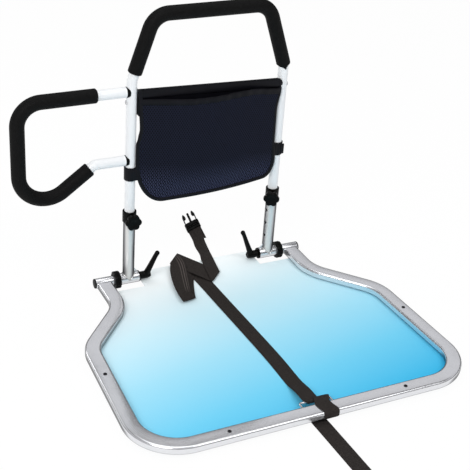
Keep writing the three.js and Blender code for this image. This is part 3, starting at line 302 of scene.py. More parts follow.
# Straight runs joined by round bends, in millimetres; a corner is (x, y, z) or (x, y, z, bend).
def bentLine(corners, step):
    line = []
    for i, corner in enumerate(corners):
        here = Vector(corner[:3])
        if len(corner) == 3:
            line.append(here)
            continue
        arriving = (here - Vector(corners[i - 1][:3])).normalized()
        leaving = (Vector(corners[i + 1][:3]) - here).normalized()
        turn = arriving.angle(leaving)
        axis = arriving.cross(leaving).normalized()
        start = here - arriving * corner[3] * math.tan(turn / 2)
        centre = start + axis.cross(arriving) * corner[3]
        count = max(2, math.ceil(math.degrees(turn) / step))
        for k in range(count + 1):
            line.append(centre + Matrix.Rotation(turn * k / count, 3, axis) @ (start - centre))
    return line


# Geometry Nodes

def newTree(name, sockets):
    tree = bpy.data.node_groups.new(name, "GeometryNodeTree")
    tree.interface.new_socket("Geometry", in_out="INPUT", socket_type="NodeSocketGeometry")
    for label, kind in sockets.items():
        tree.interface.new_socket(label, in_out="INPUT", socket_type=f"NodeSocket{kind}")
    tree.interface.new_socket("Geometry", in_out="OUTPUT", socket_type="NodeSocketGeometry")
    return tree, addNode(tree, "NodeGroupInput").outputs


def closeTree(tree, geometry, finish):
    whole = addNode(tree, "GeometryNodeRealizeInstances", {0: geometry})
    coated = addNode(tree, "GeometryNodeSetMaterial", {0: whole, "Material": finish})
    addNode(tree, "NodeGroupOutput", {0: coated})
    return tree


def runTree(piece, tree, values, sharp=32, recalc=False):
    modifier = piece.modifiers.new(tree.name, "NODES")
    modifier.node_group = tree
    for socket in tree.interface.items_tree:
        if socket.in_out == "INPUT" and socket.name in values:
            modifier[socket.identifier] = values[socket.name]
    return settle(piece, sharp, recalc)


# A tube along a line of edges: a round or a rounded oblong section, thinned where the line says.
def tubeTree(name, oblong):
    tree, given = newTree(name, {
        "Width": "Float", "Height": "Float", "Corner": "Float", "Sides": "Int", "Finish": "Material"})
    line = addNode(tree, "GeometryNodeMeshToCurve", {"Mesh": given["Geometry"]})
    if oblong:
        line = addNode(tree, "GeometryNodeSetCurveNormal", {"Curve": line}, mode="Z_UP")
        blank = addNode(tree, "GeometryNodeCurvePrimitiveQuadrilateral",
                        {"Width": given["Width"], "Height": given["Height"]})
        section = addNode(tree, "GeometryNodeFilletCurve",
                          {"Curve": blank, "Radius": given["Corner"], "Count": given["Sides"]}, mode="POLY")
    else:
        half = addNode(tree, "ShaderNodeMath", {0: given["Width"], 1: 0.5}, operation="MULTIPLY")
        section = addNode(tree, "GeometryNodeCurvePrimitiveCircle", {
            "Radius": half, "Resolution": given["Sides"]})
    share = addNode(tree, "GeometryNodeInputNamedAttribute", {"Name": "share"}, data_type="FLOAT")
    skin = addNode(tree, "GeometryNodeCurveToMesh", {
        "Curve": line, "Profile Curve": section, "Scale": share, "Fill Caps": True})
    return closeTree(tree, skin, given["Finish"])


# Copies of a small shape on loose points, or at even steps along a line and turned with it.
def copiesTree(name, onLine):
    tree, given = newTree(name, {"Pitch": "Float", "Shape": "Object", "Finish": "Material"})
    spots = {"Points": given["Geometry"]}
    if onLine:
        line = addNode(tree, "GeometryNodeMeshToCurve", {"Mesh": given["Geometry"]})
        steps = addNode(tree, "GeometryNodeCurveToPoints", {"Curve": line, "Length": given["Pitch"]},
                        mode="LENGTH")
        spots = {"Points": steps, "Rotation": steps.outputs["Rotation"]}
    shape = addNode(tree, "GeometryNodeObjectInfo", {"Object": given["Shape"], "As Instance": True})
    copies = addNode(tree, "GeometryNodeInstanceOnPoints", {"Instance": shape.outputs["Geometry"], **spots})
    return closeTree(tree, copies, given["Finish"])


# A line of edges, in millimetres, with the share of the full thickness at each point.
def lineObject(name, points, shares=None, closed=False):
    mesh = bpy.data.meshes.new(name)
    edges = [(i, i + 1) for i in range(len(points) - 1)]
    if closed:
        edges.append((len(points) - 1, 0))
    mesh.from_pydata([place(point) for point in points], edges, [])
    share = mesh.attributes.new("share", "FLOAT", "POINT")
    share.data.foreach_set("value", shares or [1.0] * len(points))
    return linkMesh(name, mesh)


roundTube = tubeTree("roundTubeOnLine", False)
oblongTube = tubeTree("oblongTubeOnLine", True)
piecesAlong = copiesTree("piecesAlongLine", True)
piecesOnPoints = copiesTree("piecesOnPoints", False)


def tube(name, points, width, finish, sidesRound=48, shares=None, closed=False):
    return runTree(lineObject(name, points, shares, closed), roundTube,
                   {"Width": width * mm, "Sides": sidesRound, "Finish": finish}, recalc=True)


# A foam sleeve on a line, its two ends rounded off over a short length.
def foamPiece(name, points, radius, edge):
    first = (points[1] - points[0]).normalized()
    last = (points[-2] - points[-1]).normalized()
    turns = [math.pi / 2 * i / 5 for i in range(6)]
    reach = [edge * (1 - math.cos(a)) for a in turns]
    shares = [(radius - edge + edge * math.sin(a)) / radius for a in turns]
    line = [points[0] + first * along for along in reach] + points[1:-1] \
        + [points[-1] + last * along for along in reversed(reach)]
    return tube(name, line, 2 * radius, cellFoam, 56, shares + [1.0] * (len(points) - 2) + shares[::-1])


# Materials

# The wave texture's scale for one band a metre
waveUnit = 0.314159


def newMaterial(name, look):
    material = bpy.data.materials.new(name)
    material.use_nodes = True
    tree = material.node_tree
    shader = tree.nodes["Principled BSDF"]
    shader.inputs["Base Color"].default_value = linear(look["colour"])
    shader.inputs["Roughness"].default_value = look["roughness"]
    shader.inputs["Metallic"].default_value = look.get("metallic", 0.0)
    shader.inputs["Specular IOR Level"].default_value = look.get("shine", 0.5)
    return material, tree, shader, addNode(tree, "ShaderNodeTexCoord").outputs


# A plain finish: one grain, (size, detail), that shows as tones, as gloss, as relief or as several of them.
# A pattern, (node, output, its scale at one metre, size, settings), takes the grain's place in the relief.
def makeGrained(name, look):
    material, tree, shader, at = newMaterial(name, look)
    size, detail = look["grain"]
    grain = addNode(tree, "ShaderNodeTexNoise", {
        "Vector": at["Object"], "Scale": 1 / (size * mm), "Detail": detail})
    if "tones" in look:
        dark, pale = look["tones"]
        addNode(tree, "ShaderNodeValToRGB", {"Fac": grain}, [(0.0, dark), (1.0, pale)],
                shader.inputs["Base Color"])
    if "gloss" in look:
        low, high = look["gloss"]
        addNode(tree, "ShaderNodeMapRange", {0: grain, 3: low, 4: high}, into=shader.inputs["Roughness"])
    if "relief" in look:
        strength, depth = look["relief"]
        if "pattern" in look:
            kind, output, unit, size, settings = look["pattern"]
            figure = addNode(tree, kind, {"Vector": at["Object"], "Scale": unit / (size * mm)}, **settings)
            grain = figure.outputs[output]
        addNode(tree, "ShaderNodeBump", {"Height": grain, "Strength": strength, "Distance": depth * mm},
                into=shader.inputs["Normal"])
    return material


# Chrome plate on drawn steel tube: its colour is painted shade and painted reflection, darkened where the surface
# turns away from the view; a little duller where hands have been.
def makeChromePlate(name, look):
    material, tree, shader, at = newMaterial(name, look)
    facing = addNode(tree, "ShaderNodeLayerWeight", {"Blend": 0.5}).outputs["Facing"]
    # painted shade and reflection: the facing ramp darkens the base colour towards the silhouette
    addNode(tree, "ShaderNodeValToRGB", {"Fac": facing}, look["tones"], shader.inputs["Base Color"])
    size, low, high = look["patch"]
    patches = addNode(tree, "ShaderNodeTexNoise", {
        "Vector": at["Object"], "Scale": 1 / (size * mm), "Detail": 4.0})
    addNode(tree, "ShaderNodeMapRange", {0: patches, 1: low, 2: high, 3: look["roughness"], 4: look["wiped"]},
            into=shader.inputs["Roughness"])
    size, strength, depth = look["ripple"]
    ripple = addNode(tree, "ShaderNodeTexNoise", {
        "Vector": at["Object"], "Scale": 1 / (size * mm), "Detail": 1.0})
    addNode(tree, "ShaderNodeBump", {"Height": ripple, "Strength": strength, "Distance": depth * mm},
            into=shader.inputs["Normal"])
    return material


# Woven polyester webbing: ribs across it, drawn over 2 mm wide so that they show, and a faint sheen.
def makeWebbing():
    look = {"colour": "#413c39", "roughness": 0.8, "shine": 0.1, "shade": "#1f1c1b", "rib": 2.4, "end": 2.2,
            "fuzz": 6, "creaseHighlight": "#6a625f", "creases": [(24, 0.55), (29.5, 0.75), (34, 0.4)], "creaseHalf": 1.3,
            "creased": (385, 410, 545, 565), "relief": (0.7, 0.25)}
    material, tree, shader, at = newMaterial("polyesterWebbing", look)
    weft, warp = [addNode(tree, "ShaderNodeTexWave", {"Vector": at["UV"], "Scale": waveUnit / (size * mm)},
                          bands_direction=way).outputs["Fac"]
                  for way, size in (("Y", look["rib"]), ("X", look["end"]))]
    weave = addNode(tree, "ShaderNodeMath", {0: weft, 1: warp}, operation="MULTIPLY")
    fuzz = addNode(tree, "ShaderNodeTexNoise", {
        "Vector": at["UV"], "Scale": 1 / (look["fuzz"] * mm), "Detail": 5.0})
    mixed = addNode(tree, "ShaderNodeMath", {0: weave, 1: fuzz}, operation="MULTIPLY")
    tone = addNode(tree, "ShaderNodeValToRGB", {"Fac": mixed}, [(0.0, look["shade"]), (0.4, look["colour"])])
    # painted highlights along the lengthwise creases on the run that has been folded down: paler lines where the
    # ridges catch light
    split = addNode(tree, "ShaderNodeSeparateXYZ", {0: at["UV"]}).outputs
    begin, full, fading, end = [spot * mm for spot in look["creased"]]
    enter = addNode(tree, "ShaderNodeMapRange", {0: split["Y"], 1: begin, 2: full})
    leave = addNode(tree, "ShaderNodeMapRange", {0: split["Y"], 1: fading, 2: end, 3: 1.0, 4: 0.0})
    within = addNode(tree, "ShaderNodeMath", {0: enter, 1: leave}, operation="MULTIPLY")
    creaseHighlight = 0.0
    for across, strength in look["creases"]:
        off = addNode(tree, "ShaderNodeMath", {0: split["X"], 1: across * mm}, operation="SUBTRACT")
        away = addNode(tree, "ShaderNodeMath", {0: off}, operation="ABSOLUTE")
        line = addNode(tree, "ShaderNodeMapRange", {
            0: away, 1: 0.0, 2: look["creaseHalf"] * mm, 3: strength, 4: 0.0})
        creaseHighlight = addNode(tree, "ShaderNodeMath", {0: line, 1: creaseHighlight}, operation="ADD")
    share = addNode(tree, "ShaderNodeMath", {0: creaseHighlight, 1: within}, operation="MULTIPLY")
    # the paler crease colour is a painted highlight
    colour = addNode(tree, "ShaderNodeMix", {0: share, 6: tone, 7: linear(look["creaseHighlight"])}, data_type="RGBA")
    tree.links.new(colour.outputs[2], shader.inputs["Base Color"])
    strength, depth = look["relief"]
    addNode(tree, "ShaderNodeBump", {"Height": weave, "Strength": strength, "Distance": depth * mm},
            into=shader.inputs["Normal"])
    return material


# Knitted nylon mesh: navy yarn in a diamond net that shows at the sides, with fine upright lines low down that rise
# to a painted highlight, lighter towards the bottom.
def makePocketMesh():
    look = {"colour": "#1b1e2e", "roughness": 0.75, "shine": 0.1, "hole": (0.65, "#030409"),
            "yarn": (0.85, "#1b1e2e"), "lit": (1.0, "#3c405a"), "net": 5.4, "lean": 32, "even": 0.78, "top": 0.85,
            "plain": (80, 0.3), "netted": (130, 1.0), "line": 4.6, "lineTop": (170, 0.0),
            "lineFull": (235, 0.2), "relief": (0.8, 0.4)}
    material, tree, shader, at = newMaterial("knittedNylonMesh", look)
    split = addNode(tree, "ShaderNodeSeparateXYZ", {0: at["UV"]}).outputs
    heights = []
    for angle in (look["lean"], -look["lean"]):
        lean = addNode(tree, "ShaderNodeMapping", {"Vector": at["UV"], "Rotation": (0, 0, math.radians(angle))})
        heights.append(addNode(tree, "ShaderNodeTexWave", {
            "Vector": lean, "Scale": waveUnit / (look["net"] * mm)}, bands_direction="X").outputs["Fac"])
    yarn = addNode(tree, "ShaderNodeMath", {0: heights[0], 1: heights[1]}, operation="MAXIMUM")
    # the net fades to an even cloth towards the middle
    out = addNode(tree, "ShaderNodeMath", {0: split["X"]}, operation="ABSOLUTE")
    (plain, least), (netted, most) = look["plain"], look["netted"]
    netShare = addNode(tree, "ShaderNodeMapRange", {0: out, 1: plain * mm, 2: netted * mm, 3: least, 4: most})
    above = addNode(tree, "ShaderNodeMath", {0: yarn, 1: look["even"]}, operation="SUBTRACT")
    faded = addNode(tree, "ShaderNodeMath", {0: above, 1: netShare, 2: look["even"]}, operation="MULTIPLY_ADD")
    net = addNode(tree, "ShaderNodeMath", {0: faded, 1: look["top"]}, operation="MINIMUM")
    lines = addNode(tree, "ShaderNodeTexWave", {"Vector": at["UV"], "Scale": waveUnit / (look["line"] * mm)},
                    bands_direction="X").outputs["Fac"]
    # painted highlight: the upright lines strengthen towards the bottom, up to the lit colour
    (begin, least), (full, most) = look["lineTop"], look["lineFull"]
    low = addNode(tree, "ShaderNodeMapRange", {0: split["Y"], 1: begin * mm, 2: full * mm, 3: least, 4: most})
    knit = addNode(tree, "ShaderNodeMath", {0: lines, 1: low, 2: net}, operation="MULTIPLY_ADD")
    addNode(tree, "ShaderNodeValToRGB", {"Fac": knit}, [look["hole"], look["yarn"], look["lit"]],
            shader.inputs["Base Color"])
    strength, depth = look["relief"]
    addNode(tree, "ShaderNodeBump", {"Height": knit, "Strength": strength, "Distance": depth * mm},
            into=shader.inputs["Normal"])
    return material


# Calendered plastic sheet: half gloss, printed from near white at the rear left to sky blue in front.
def makePrintedSheet():
    look = {"colour": "#2fb3e3", "roughness": 0.36, "shine": 0.15, "across": 0.000342, "along": -0.001427,
            "grain": 2.5, "tones": [(0.0, "#f4fbfd"), (0.25, "#ccedf8"), (0.5, "#9fdcf2"), (0.75, "#6dcaec"),
                                    (1.0, "#2fb3e3")], "relief": (0.15, 0.05)}
    material, tree, shader, at = newMaterial("printedPlasticSheet", look)
    split = addNode(tree, "ShaderNodeSeparateXYZ", {0: at["Object"]}).outputs
    across, depth = [addNode(tree, "ShaderNodeMath", {0: split[way], 1: slope / mm, 2: -start * slope / mm},
                             operation="MULTIPLY_ADD")
                     for way, slope, start in (("X", look["across"], middle.x), ("Y", look["along"], middle.y))]
    total = addNode(tree, "ShaderNodeMath", {0: across, 1: depth}, operation="ADD")
    addNode(tree, "ShaderNodeValToRGB", {"Fac": total}, look["tones"], shader.inputs["Base Color"])
    grain = addNode(tree, "ShaderNodeTexNoise", {
        "Vector": at["Object"], "Scale": 1 / (look["grain"] * mm), "Detail": 2.0})
    strength, depth = look["relief"]
    addNode(tree, "ShaderNodeBump", {"Height": grain, "Strength": strength, "Distance": depth * mm},
            into=shader.inputs["Normal"])
    return material


# Bright chrome on the bent base frame, satin chrome on the round posts; their tones are painted shade and
# reflection, darkening towards the silhouette
chromePlate = makeChromePlate("chromePlate", {
    "colour": "#e6e7ea", "roughness": 0.2, "wiped": 0.24, "metallic": 0.8, "patch": (35, 0.35, 0.7),
    "ripple": (14, 0.25, 0.06),
    "tones": [(0.0, "#e6e7ea"), (0.54, "#e2e3e6"), (0.64, "#8b8c8f"), (0.76, "#3c3c3f"), (1.0, "#141416")]})
satinChrome = makeChromePlate("satinChromePlate", {
    "colour": "#eae9e8", "roughness": 0.34, "wiped": 0.38, "metallic": 0.42, "patch": (35, 0.35, 0.7),
    "ripple": (14, 0.25, 0.06),
    "tones": [(0.0, "#eae9e8"), (0.22, "#d9d8d6"), (0.38, "#8d8c90"), (0.52, "#464648"), (0.66, "#2c2c2e"),
              (1.0, "#1c1c1f")]})
# Inside of a tube: near black with a brown tinge, painted shade that makes the post's bore and holes read dark.
boreShade = makeGrained("paintedBoreShade", {
    "colour": "#0a0a0a", "roughness": 0.9, "shine": 0.05, "grain": (6, 3.0), "tones": ("#050505", "#141210")})
# White powder coat: half gloss, with the fine orange peel that the powder leaves.
powderCoat = makeGrained("whitePowderCoat", {
    "colour": "#e7e9eb", "roughness": 0.34, "grain": (1.6, 2.0), "gloss": (0.3, 0.42), "relief": (0.35, 0.05)})
# Moulded nylon: satin black, with the fine spark texture of its tool.
mouldedNylon = makeGrained("mouldedNylon", {
    "colour": "#070706", "roughness": 0.42, "shine": 0.1, "grain": (0.7, 3.0), "gloss": (0.34, 0.52),
    "relief": (0.3, 0.06)})
# Blackened steel screws: dark oxide, dull, with paler patches where it has rubbed.
blackedSteel = makeGrained("blackedSteel", {
    "colour": "#1b1b1d", "roughness": 0.4, "metallic": 0.8, "grain": (3, 4.0), "tones": ("#141416", "#3a3a3e")})
# Closed-cell foam sleeve: matt, almost no shine, skinned with tiny cells.
cellFoam = makeGrained("closedCellFoam", {
    "colour": "#070707", "roughness": 0.62, "shine": 0.1, "grain": (9, 5.0), "tones": ("#070707", "#121212"),
    "pattern": ("ShaderNodeTexVoronoi", "Distance", 1, 1.1, {}), "relief": (0.5, 0.12)})
# Woven nylon tape and band cloth: nearly black, tightly ribbed, a little shine.
tapeCloth = makeGrained("wovenNylonTape", {
    "colour": "#060609", "roughness": 0.45, "shine": 0.14, "grain": (30, 3.0), "tones": ("#060609", "#111118"),
    "pattern": ("ShaderNodeTexWave", "Fac", waveUnit, 1.4, {"bands_direction": "DIAGONAL"}),
    "relief": (0.4, 0.15)})
# Moulded rubber feet: matt black, with a slight bloom.
padRubber = makeGrained("mouldedRubber", {
    "colour": "#161616", "roughness": 0.85, "grain": (4, 5.0), "tones": ("#121212", "#222222"),
    "relief": (0.3, 0.1)})
# Bonded nylon thread: black, with a slight shine.
threadCloth = makeGrained("bondedNylonThread", {
    "colour": "#26242c", "roughness": 0.5, "grain": (0.8, 2.0), "relief": (0.4, 0.1)})
webbing = makeWebbing()
pocketMesh = makePocketMesh()
printedSheet = makePrintedSheet()
nodeFinish = {"pad": padRubber, "screw": blackedSteel, "bolt": blackedSteel, "nut": blackedSteel,
              "board": printedSheet, "tube": chromePlate, "loop": chromePlate, "gusset": chromePlate,
              "post": satinChrome}
for nodeName, node in nodes.items():
    node.data.materials.clear()
    node.data.materials.append(nodeFinish.get(nodeName.split("_")[-1], mouldedNylon))
print("materials made")


# The strap: one 38 mm webbing from the buckle through the pile, round the loop and bar, and to its roll.
# Each row is the left and right edge of its middle surface.
strap = {
    "width": 38, "thick": 1.5, "rise": 1.0, "step": 7, "columns": 12,
    "behind": [
        [[53.2, 194.7, 5.3], [86.2, 188.5, 23.1]], [[49, 156, 2.5], [76, 136, 10]],
        [[41, 120, 1.4], [71, 92, 1.4]], [[31, 66, 8.4], [59, 47, 10.2]], [[21, 35, 12], [51, 6, 11.5]],
        [[11, -6, 18.8], [44, -25, 15]], [[2, -78, 14.8], [42, -37, 14.8]],
    ],
    "across": [
        [[3, -75, 12.6], [44, -34, 12.6]], [[-34, -25, 17.6], [6, 18, 17.6]], [[-70, 33, 18.8], [-30, 77, 18.8]],
    ],
    "down": [
        [[-71, 30, 21], [-31, 73, 21]], [[-85, -3, 21], [-29, 34, 21]], [[-101, -63, 20], [-52, -50, 20]],
        [[-107, -106, 18.5], [-70, -112, 18.5]], [[-108, -143, 17], [-71, -137, 17]],
    ],
    "second": [
        [[-106, -140, 15], [-69, -134, 15]], [[-91, -59, 15.6], [-44, -45, 15.6]], [[-62, 22, 16], [-17, 41, 16]],
    ],
    "third": [
        [[-60, 25, 14], [-16, 44, 14]], [[-87, -57, 13.5], [-41, -48, 13.5]], [[-105, -137, 13], [-68, -131, 13]],
    ],
    "fourth": [
        [[-104, -135, 11], [-67, -128, 11]], [[-81, -56, 11.6], [-38, -51, 11.6]], [[-43, 14, 12], [1, 23, 12]],
    ],
    "long": [
        [[-42, 17, 10], [3, 26, 10]], [[-36, -43, 10], [4, -50, 10]], [[-30, -170, 10], [9, -173, 10]],
        [[-19, -430, 10], [20, -430, 10]], [[-19, -530, 10.6], [20, -529, 10.6]], [[-22, -580, 22], [16, -578, 22]],
    ],
    "loop": {"y": -620, "z": 25, "radius": 2.5, "from": -6, "to": 20, "rise": 2.2, "clear": 0.4, "steps": 16},
    "bar": {"y": -654, "half": 19, "edge": 6, "top": 29, "bottom": 9, "clear": 0.6, "under": -648,
            "innerY": -640,
            "x": {"inner": 12, "top": 17, "outer": 18, "under": 4, "floor": -6.5}},
    "floorZ": 1.3,
    "front": [[-6.5, -662], [-5.5, -690], [-1, -835], [2.5, -930], [3, -960]],
    "roll": {"x": 3, "y": -995, "radius": 34.8, "pitch": 2.2, "turns": 5.75, "steps": 40},
    "tail": {"reach": 0.92, "askew": 6.5, "under": 1.9, "steps": 5},
}


def flatRow(x, y, z):
    half = strap["width"] / 2
    return [Vector((x - half, y, z)), Vector((x + half, y, z))]


# The half circle of a fold between two layers.
def foldRows(rows, following):
    before, last = rows[-2], rows[-1]
    edge = (last[1] - last[0]).normalized()
    run = (last[0] + last[1]) - (before[0] + before[1])
    run -= edge * run.dot(edge)
    run.z = 0
    run.normalize()
    made = []
    for k in range(1, 8):
        share = k / 8
        blend = (1 - math.cos(math.pi * share)) / 2
        lift = run * math.sin(math.pi * share) * strap["rise"]
        made.append([last[i].lerp(following[i], blend) + lift for i in (0, 1)])
    return made


# A smooth line through points that are far and near by turns, without overshoot.
def smoothEdge(points, spacing):
    result = []
    for i in range(len(points) - 1):
        a = points[i - 1] if i else points[i] * 2 - points[i + 1]
        b, c = points[i], points[i + 1]
        d = points[i + 2] if i + 2 < len(points) else c * 2 - b
        gaps = [max((q - p).length, 1e-4) ** 0.5 for p, q in ((a, b), (b, c), (c, d))]
        leave = (c - b) - (c - a) * (gaps[1] / (gaps[0] + gaps[1])) + (b - a) * (gaps[1] / gaps[0])
        arrive = (c - b) - (d - b) * (gaps[1] / (gaps[1] + gaps[2])) + (d - c) * (gaps[1] / gaps[2])
        for k in range(spacing[i]):
            t = k / spacing[i]
            result.append(b * (2 * t ** 3 - 3 * t ** 2 + 1) + leave * (t ** 3 - 2 * t ** 2 + t)
                          + c * (3 * t ** 2 - 2 * t ** 3) + arrive * (t ** 3 - t ** 2))
    return result + [points[-1]]


def strapRows():
    rows = []
    for name in ("behind", "across", "down", "second", "third", "fourth", "long"):
        layer = [[Vector(edge) for edge in row] for row in strap[name]]
        if rows:
            rows += foldRows(rows, layer[0])
        rows += layer
    loop = strap["loop"]
    for k in range(loop["steps"] + 1):
        share = k / loop["steps"]
        turn = 2 * math.pi * share
        radius = loop["radius"] + strap["thick"] / 2 + loop["clear"] + loop["rise"] * share
        x = loop["from"] + (loop["to"] - loop["from"]) * share
        rows.append(flatRow(x, loop["y"] - radius * math.sin(turn), loop["z"] + radius * math.cos(turn)))
    bar = strap["bar"]
    off = strap["thick"] / 2 + bar["clear"]
    edgeY = bar["y"] - bar["half"] + bar["edge"]
    reach = bar["edge"] + off
    rows.append(flatRow(bar["x"]["inner"], bar["innerY"], bar["top"] + off))
    rows.append(flatRow(bar["x"]["top"], edgeY, bar["top"] + off))
    for share in (1 / 3, 2 / 3, 1):
        turn = math.pi / 2 * share
        rows.append(flatRow(bar["x"]["outer"], edgeY - reach * math.sin(turn),
                            bar["top"] - bar["edge"] + reach * math.cos(turn)))
    for share in (0, 1 / 3, 2 / 3, 1):
        turn = math.pi / 2 * share
        rows.append(flatRow(bar["x"]["outer"], edgeY - reach * math.cos(turn),
                            bar["bottom"] + bar["edge"] - reach * math.sin(turn)))
    half = (bar["bottom"] - off - strap["floorZ"]) / 2
    for share in (0, 1 / 4, 1 / 2, 3 / 4, 1):
        x = bar["x"]["under"] + (bar["x"]["floor"] - bar["x"]["under"]) * share
        turn = math.pi * share
        rows.append(flatRow(x, bar["under"] + half * math.sin(turn),
                            strap["floorZ"] + half + half * math.cos(turn)))
    rows += [flatRow(x, y, strap["floorZ"]) for x, y in strap["front"]]
    roll = strap["roll"]
    for k in range(round(roll["turns"] * roll["steps"]) + 1):
        turns = k / roll["steps"]
        radius = roll["radius"] - roll["pitch"] * turns
        turn = 2 * math.pi * turns
        rows.append(flatRow(roll["x"], roll["y"] - radius * math.sin(turn),
                            strap["floorZ"] + roll["radius"] - radius * math.cos(turn)))
    return rows


# A webbing through rows, smoothed or as they are, with soft selvedges and a UV map in metres.
def webbingPiece(name, rows, smooth=True):
    edges = [[row[i] for row in rows] for i in (0, 1)]
    if smooth:
        spacing = [max(1, min(12, round((b - a).length / strap["step"])))
                   for a, b in zip(edges[0], edges[0][1:])]
        edges = [smoothEdge(edge, spacing) for edge in edges]
    middles = [(a + b) / 2 for a, b in zip(*edges)]
    columns = strap["columns"]
    shape = bmesh.new()
    uvLayer = shape.loops.layers.uv.new("UVMap")
    grid, along = [], 0.0
    for i, (a, b) in enumerate(zip(*edges)):
        ahead = middles[min(i + 1, len(middles) - 1)] - middles[max(i - 1, 0)]
        normal = (b - a).cross(ahead).normalized()
        along += (middles[i] - middles[i - 1]).length if i else 0
        ring = []
        for k in range(2 * columns):
            top = k <= columns
            share = k / columns if top else (2 * columns - k) / columns
            swell = (1 - abs(2 * share - 1) ** 6) ** 0.5 * strap["thick"] / 2
            point = a.lerp(b, share) + normal * (swell if top else -swell)
            ring.append((shape.verts.new(place(point)), share * strap["width"] * mm, along * mm))
        grid.append(ring)
    clothFaces(shape, uvLayer, grid, True)
    shape.faces.new([corner[0] for corner in reversed(grid[0])])
    shape.faces.new([corner[0] for corner in grid[-1]])
    mesh = meshFrom(name, shape)
    finishMesh(mesh, 50)
    return linkMesh(name, mesh, webbing), along


# The tail that comes back out of the buckle, under the strap and a little askew.
def tailRows():
    size = strap["tail"]
    first, second = [[Vector(edge) for edge in row] for row in strap["behind"][:2]]
    across = (first[1] - first[0]).normalized()
    upward = across.cross(first[0] - second[0]).normalized()
    upward *= math.copysign(1, upward.z)
    rows = []
    for i in range(size["steps"] + 1):
        share = i / size["steps"]
        shift = across * size["askew"] * share - upward * size["under"]
        rows.append([a.lerp(b, size["reach"] * share) + shift for a, b in zip(first, second)])
    return rows


strapPiece, strapLength = webbingPiece("strapWebbing", strapRows())
strapPiece = joinPieces("strapWebbing", [strapPiece, webbingPiece("strapTail", tailRows(), False)[0]])
mount(strapPiece, "base", "webbing", "strap_rear_run", "strap_front_run", "strap_roll")
print(f"strap laid: {strapLength:.0f} mm")

# Buckle halves, drawn flat with the prongs along Y
buckle = {
    "half": 21, "body": 38, "thick": 8, "centre": (69.8, 192, 14.2), "heading": 10.66, "roll": 28,
    "slots": [(9, 13), (18, 22)], "slotHalf": 17.5,
    "prong": {"arm": 3, "inner": 9.2, "outer": 18.6, "tip": 13.6, "neck": 66, "reach": 92, "thick": 5.6},
    "guide": 3.2, "guideEnd": 90,
    "socket": {"half": 23, "length": 40.8, "thick": 11, "mouth": 17.5, "mouthHigh": 6.4, "depth": 28,
               "window": (8, 22), "slot": (33, 37), "slotHalf": 19.4},
}


# A half's outline, with its rear corners cut by one length and its front corners by another.
def halfOutline(half, length, rear, front):
    return [(-half, rear), (-half + rear, 0), (half - rear, 0), (half, rear), (half, length - front),
            (half - front, length), (front - half, length), (-half, length - front)]


def maleBuckle():
    size, prong = buckle, buckle["prong"]
    turn = Matrix.Translation(size["centre"]) @ Matrix.Rotation(-math.radians(size["heading"]), 4, "Z") \
        @ Matrix.Rotation(-math.radians(size["roll"]), 4, "Y")
    body = size["body"]
    frameBody = platePiece("maleBuckle", halfOutline(size["half"], body, 2, 3), -size["thick"] / 2,
                           size["thick"] / 2, mouldedNylon, 1.2, turn)
    wide = size["slotHalf"]
    slots = [boxPiece("slot", (-wide, low, -20), (wide, high, 20), mouldedNylon, 0, turn)
             for low, high in size["slots"]]
    carve(frameBody, slots)
    base, deep = body - 6, prong["thick"] / 2
    neck, reach, arm = prong["neck"], prong["reach"], prong["outer"] - prong["arm"]
    inner, outer, tip = prong["inner"], prong["outer"], prong["tip"]
    # a springy arm, then a teardrop head with its barb on the inside
    curve = [(arm, base), (outer, base), (outer, neck - 4), (outer + 0.3, neck + 8), (outer - 1.4, neck + 18),
             (tip + 1.6, reach - 1.2), (tip, reach), (tip - 1.6, reach - 1.6), (inner + 0.8, neck + 16),
             (inner, neck + 9), (inner + 1.2, neck + 3), (arm, neck)]
    guide, end = size["guide"], size["guideEnd"]
    turns = [math.pi * i / 8 for i in range(9)]
    outlines = [[(sign * x, y) for x, y in curve] for sign in (-1, 1)]
    outlines.append([(-guide, base), (guide, base)]
                    + [(guide * math.cos(a), end - guide + guide * math.sin(a)) for a in turns])
    parts = [frameBody] + [platePiece("prong", outline, -deep, deep, mouldedNylon, 1.1, turn)
                           for outline in outlines]
    bridge = [(-18, body - 4), (18, body - 4), (14, body + 3), (-14, body + 3)]
    parts.append(platePiece("bridge", bridge, -deep, deep, mouldedNylon, 0.8, turn))
    return joinPieces("maleBuckle", parts)


def femaleBuckle():
    size = buckle["socket"]
    roll = strap["roll"]
    turn = Matrix.Translation((roll["x"], roll["y"] - size["length"] / 2, strap["floorZ"] + roll["radius"]))
    shell = platePiece("femaleBuckle", halfOutline(size["half"], size["length"], 3, 3), -size["thick"] / 2,
                       size["thick"] / 2, mouldedNylon, 1.5, turn)
    high = size["mouthHigh"] / 2
    openings = ((size["mouth"], -20, size["depth"], high), (40, *size["window"], high),
                (size["slotHalf"], *size["slot"], 20))
    return carve(shell, [boxPiece("opening", (-wide, low, -deep), (wide, end, deep), mouldedNylon, 0, turn)
                         for wide, low, end, deep in openings])


maleHalf = mount(maleBuckle(), "base", "black_plastic", "male_buckle")
femaleHalf = mount(femaleBuckle(), "base", "black_plastic", "female_buckle")
print("buckle halves made")

# Base: flat oval tube, strap loop, board, cross tubes with their caps
base = {
    "width": 38, "height": 20, "corner": 6, "z": 19, "startX": 267, "startY": -9,
    "bends": [(267, -119, 106), (392, -263, 96), (408, -654, 104)],
    "cross": {"radius": 12.5, "wall": 1.6, "inner": 239.3, "outer": 288.4, "cap": 3, "gap": 0.3, "capInset": 6},
    "loop": {"radius": 2.5, "left": -36, "right": 40, "y": -620, "z": 25, "bend": 6, "barY": -636},
    "screws": [(-396.5, -374), (396.5, -374), (-220.75, -654), (220.75, -654)], "screwZ": 29.3,
    "screwHead": {"radius": 4.5, "high": 1.6, "recessHalf": 2.2, "recessWide": 0.5},
    "bead": 1.7,
}


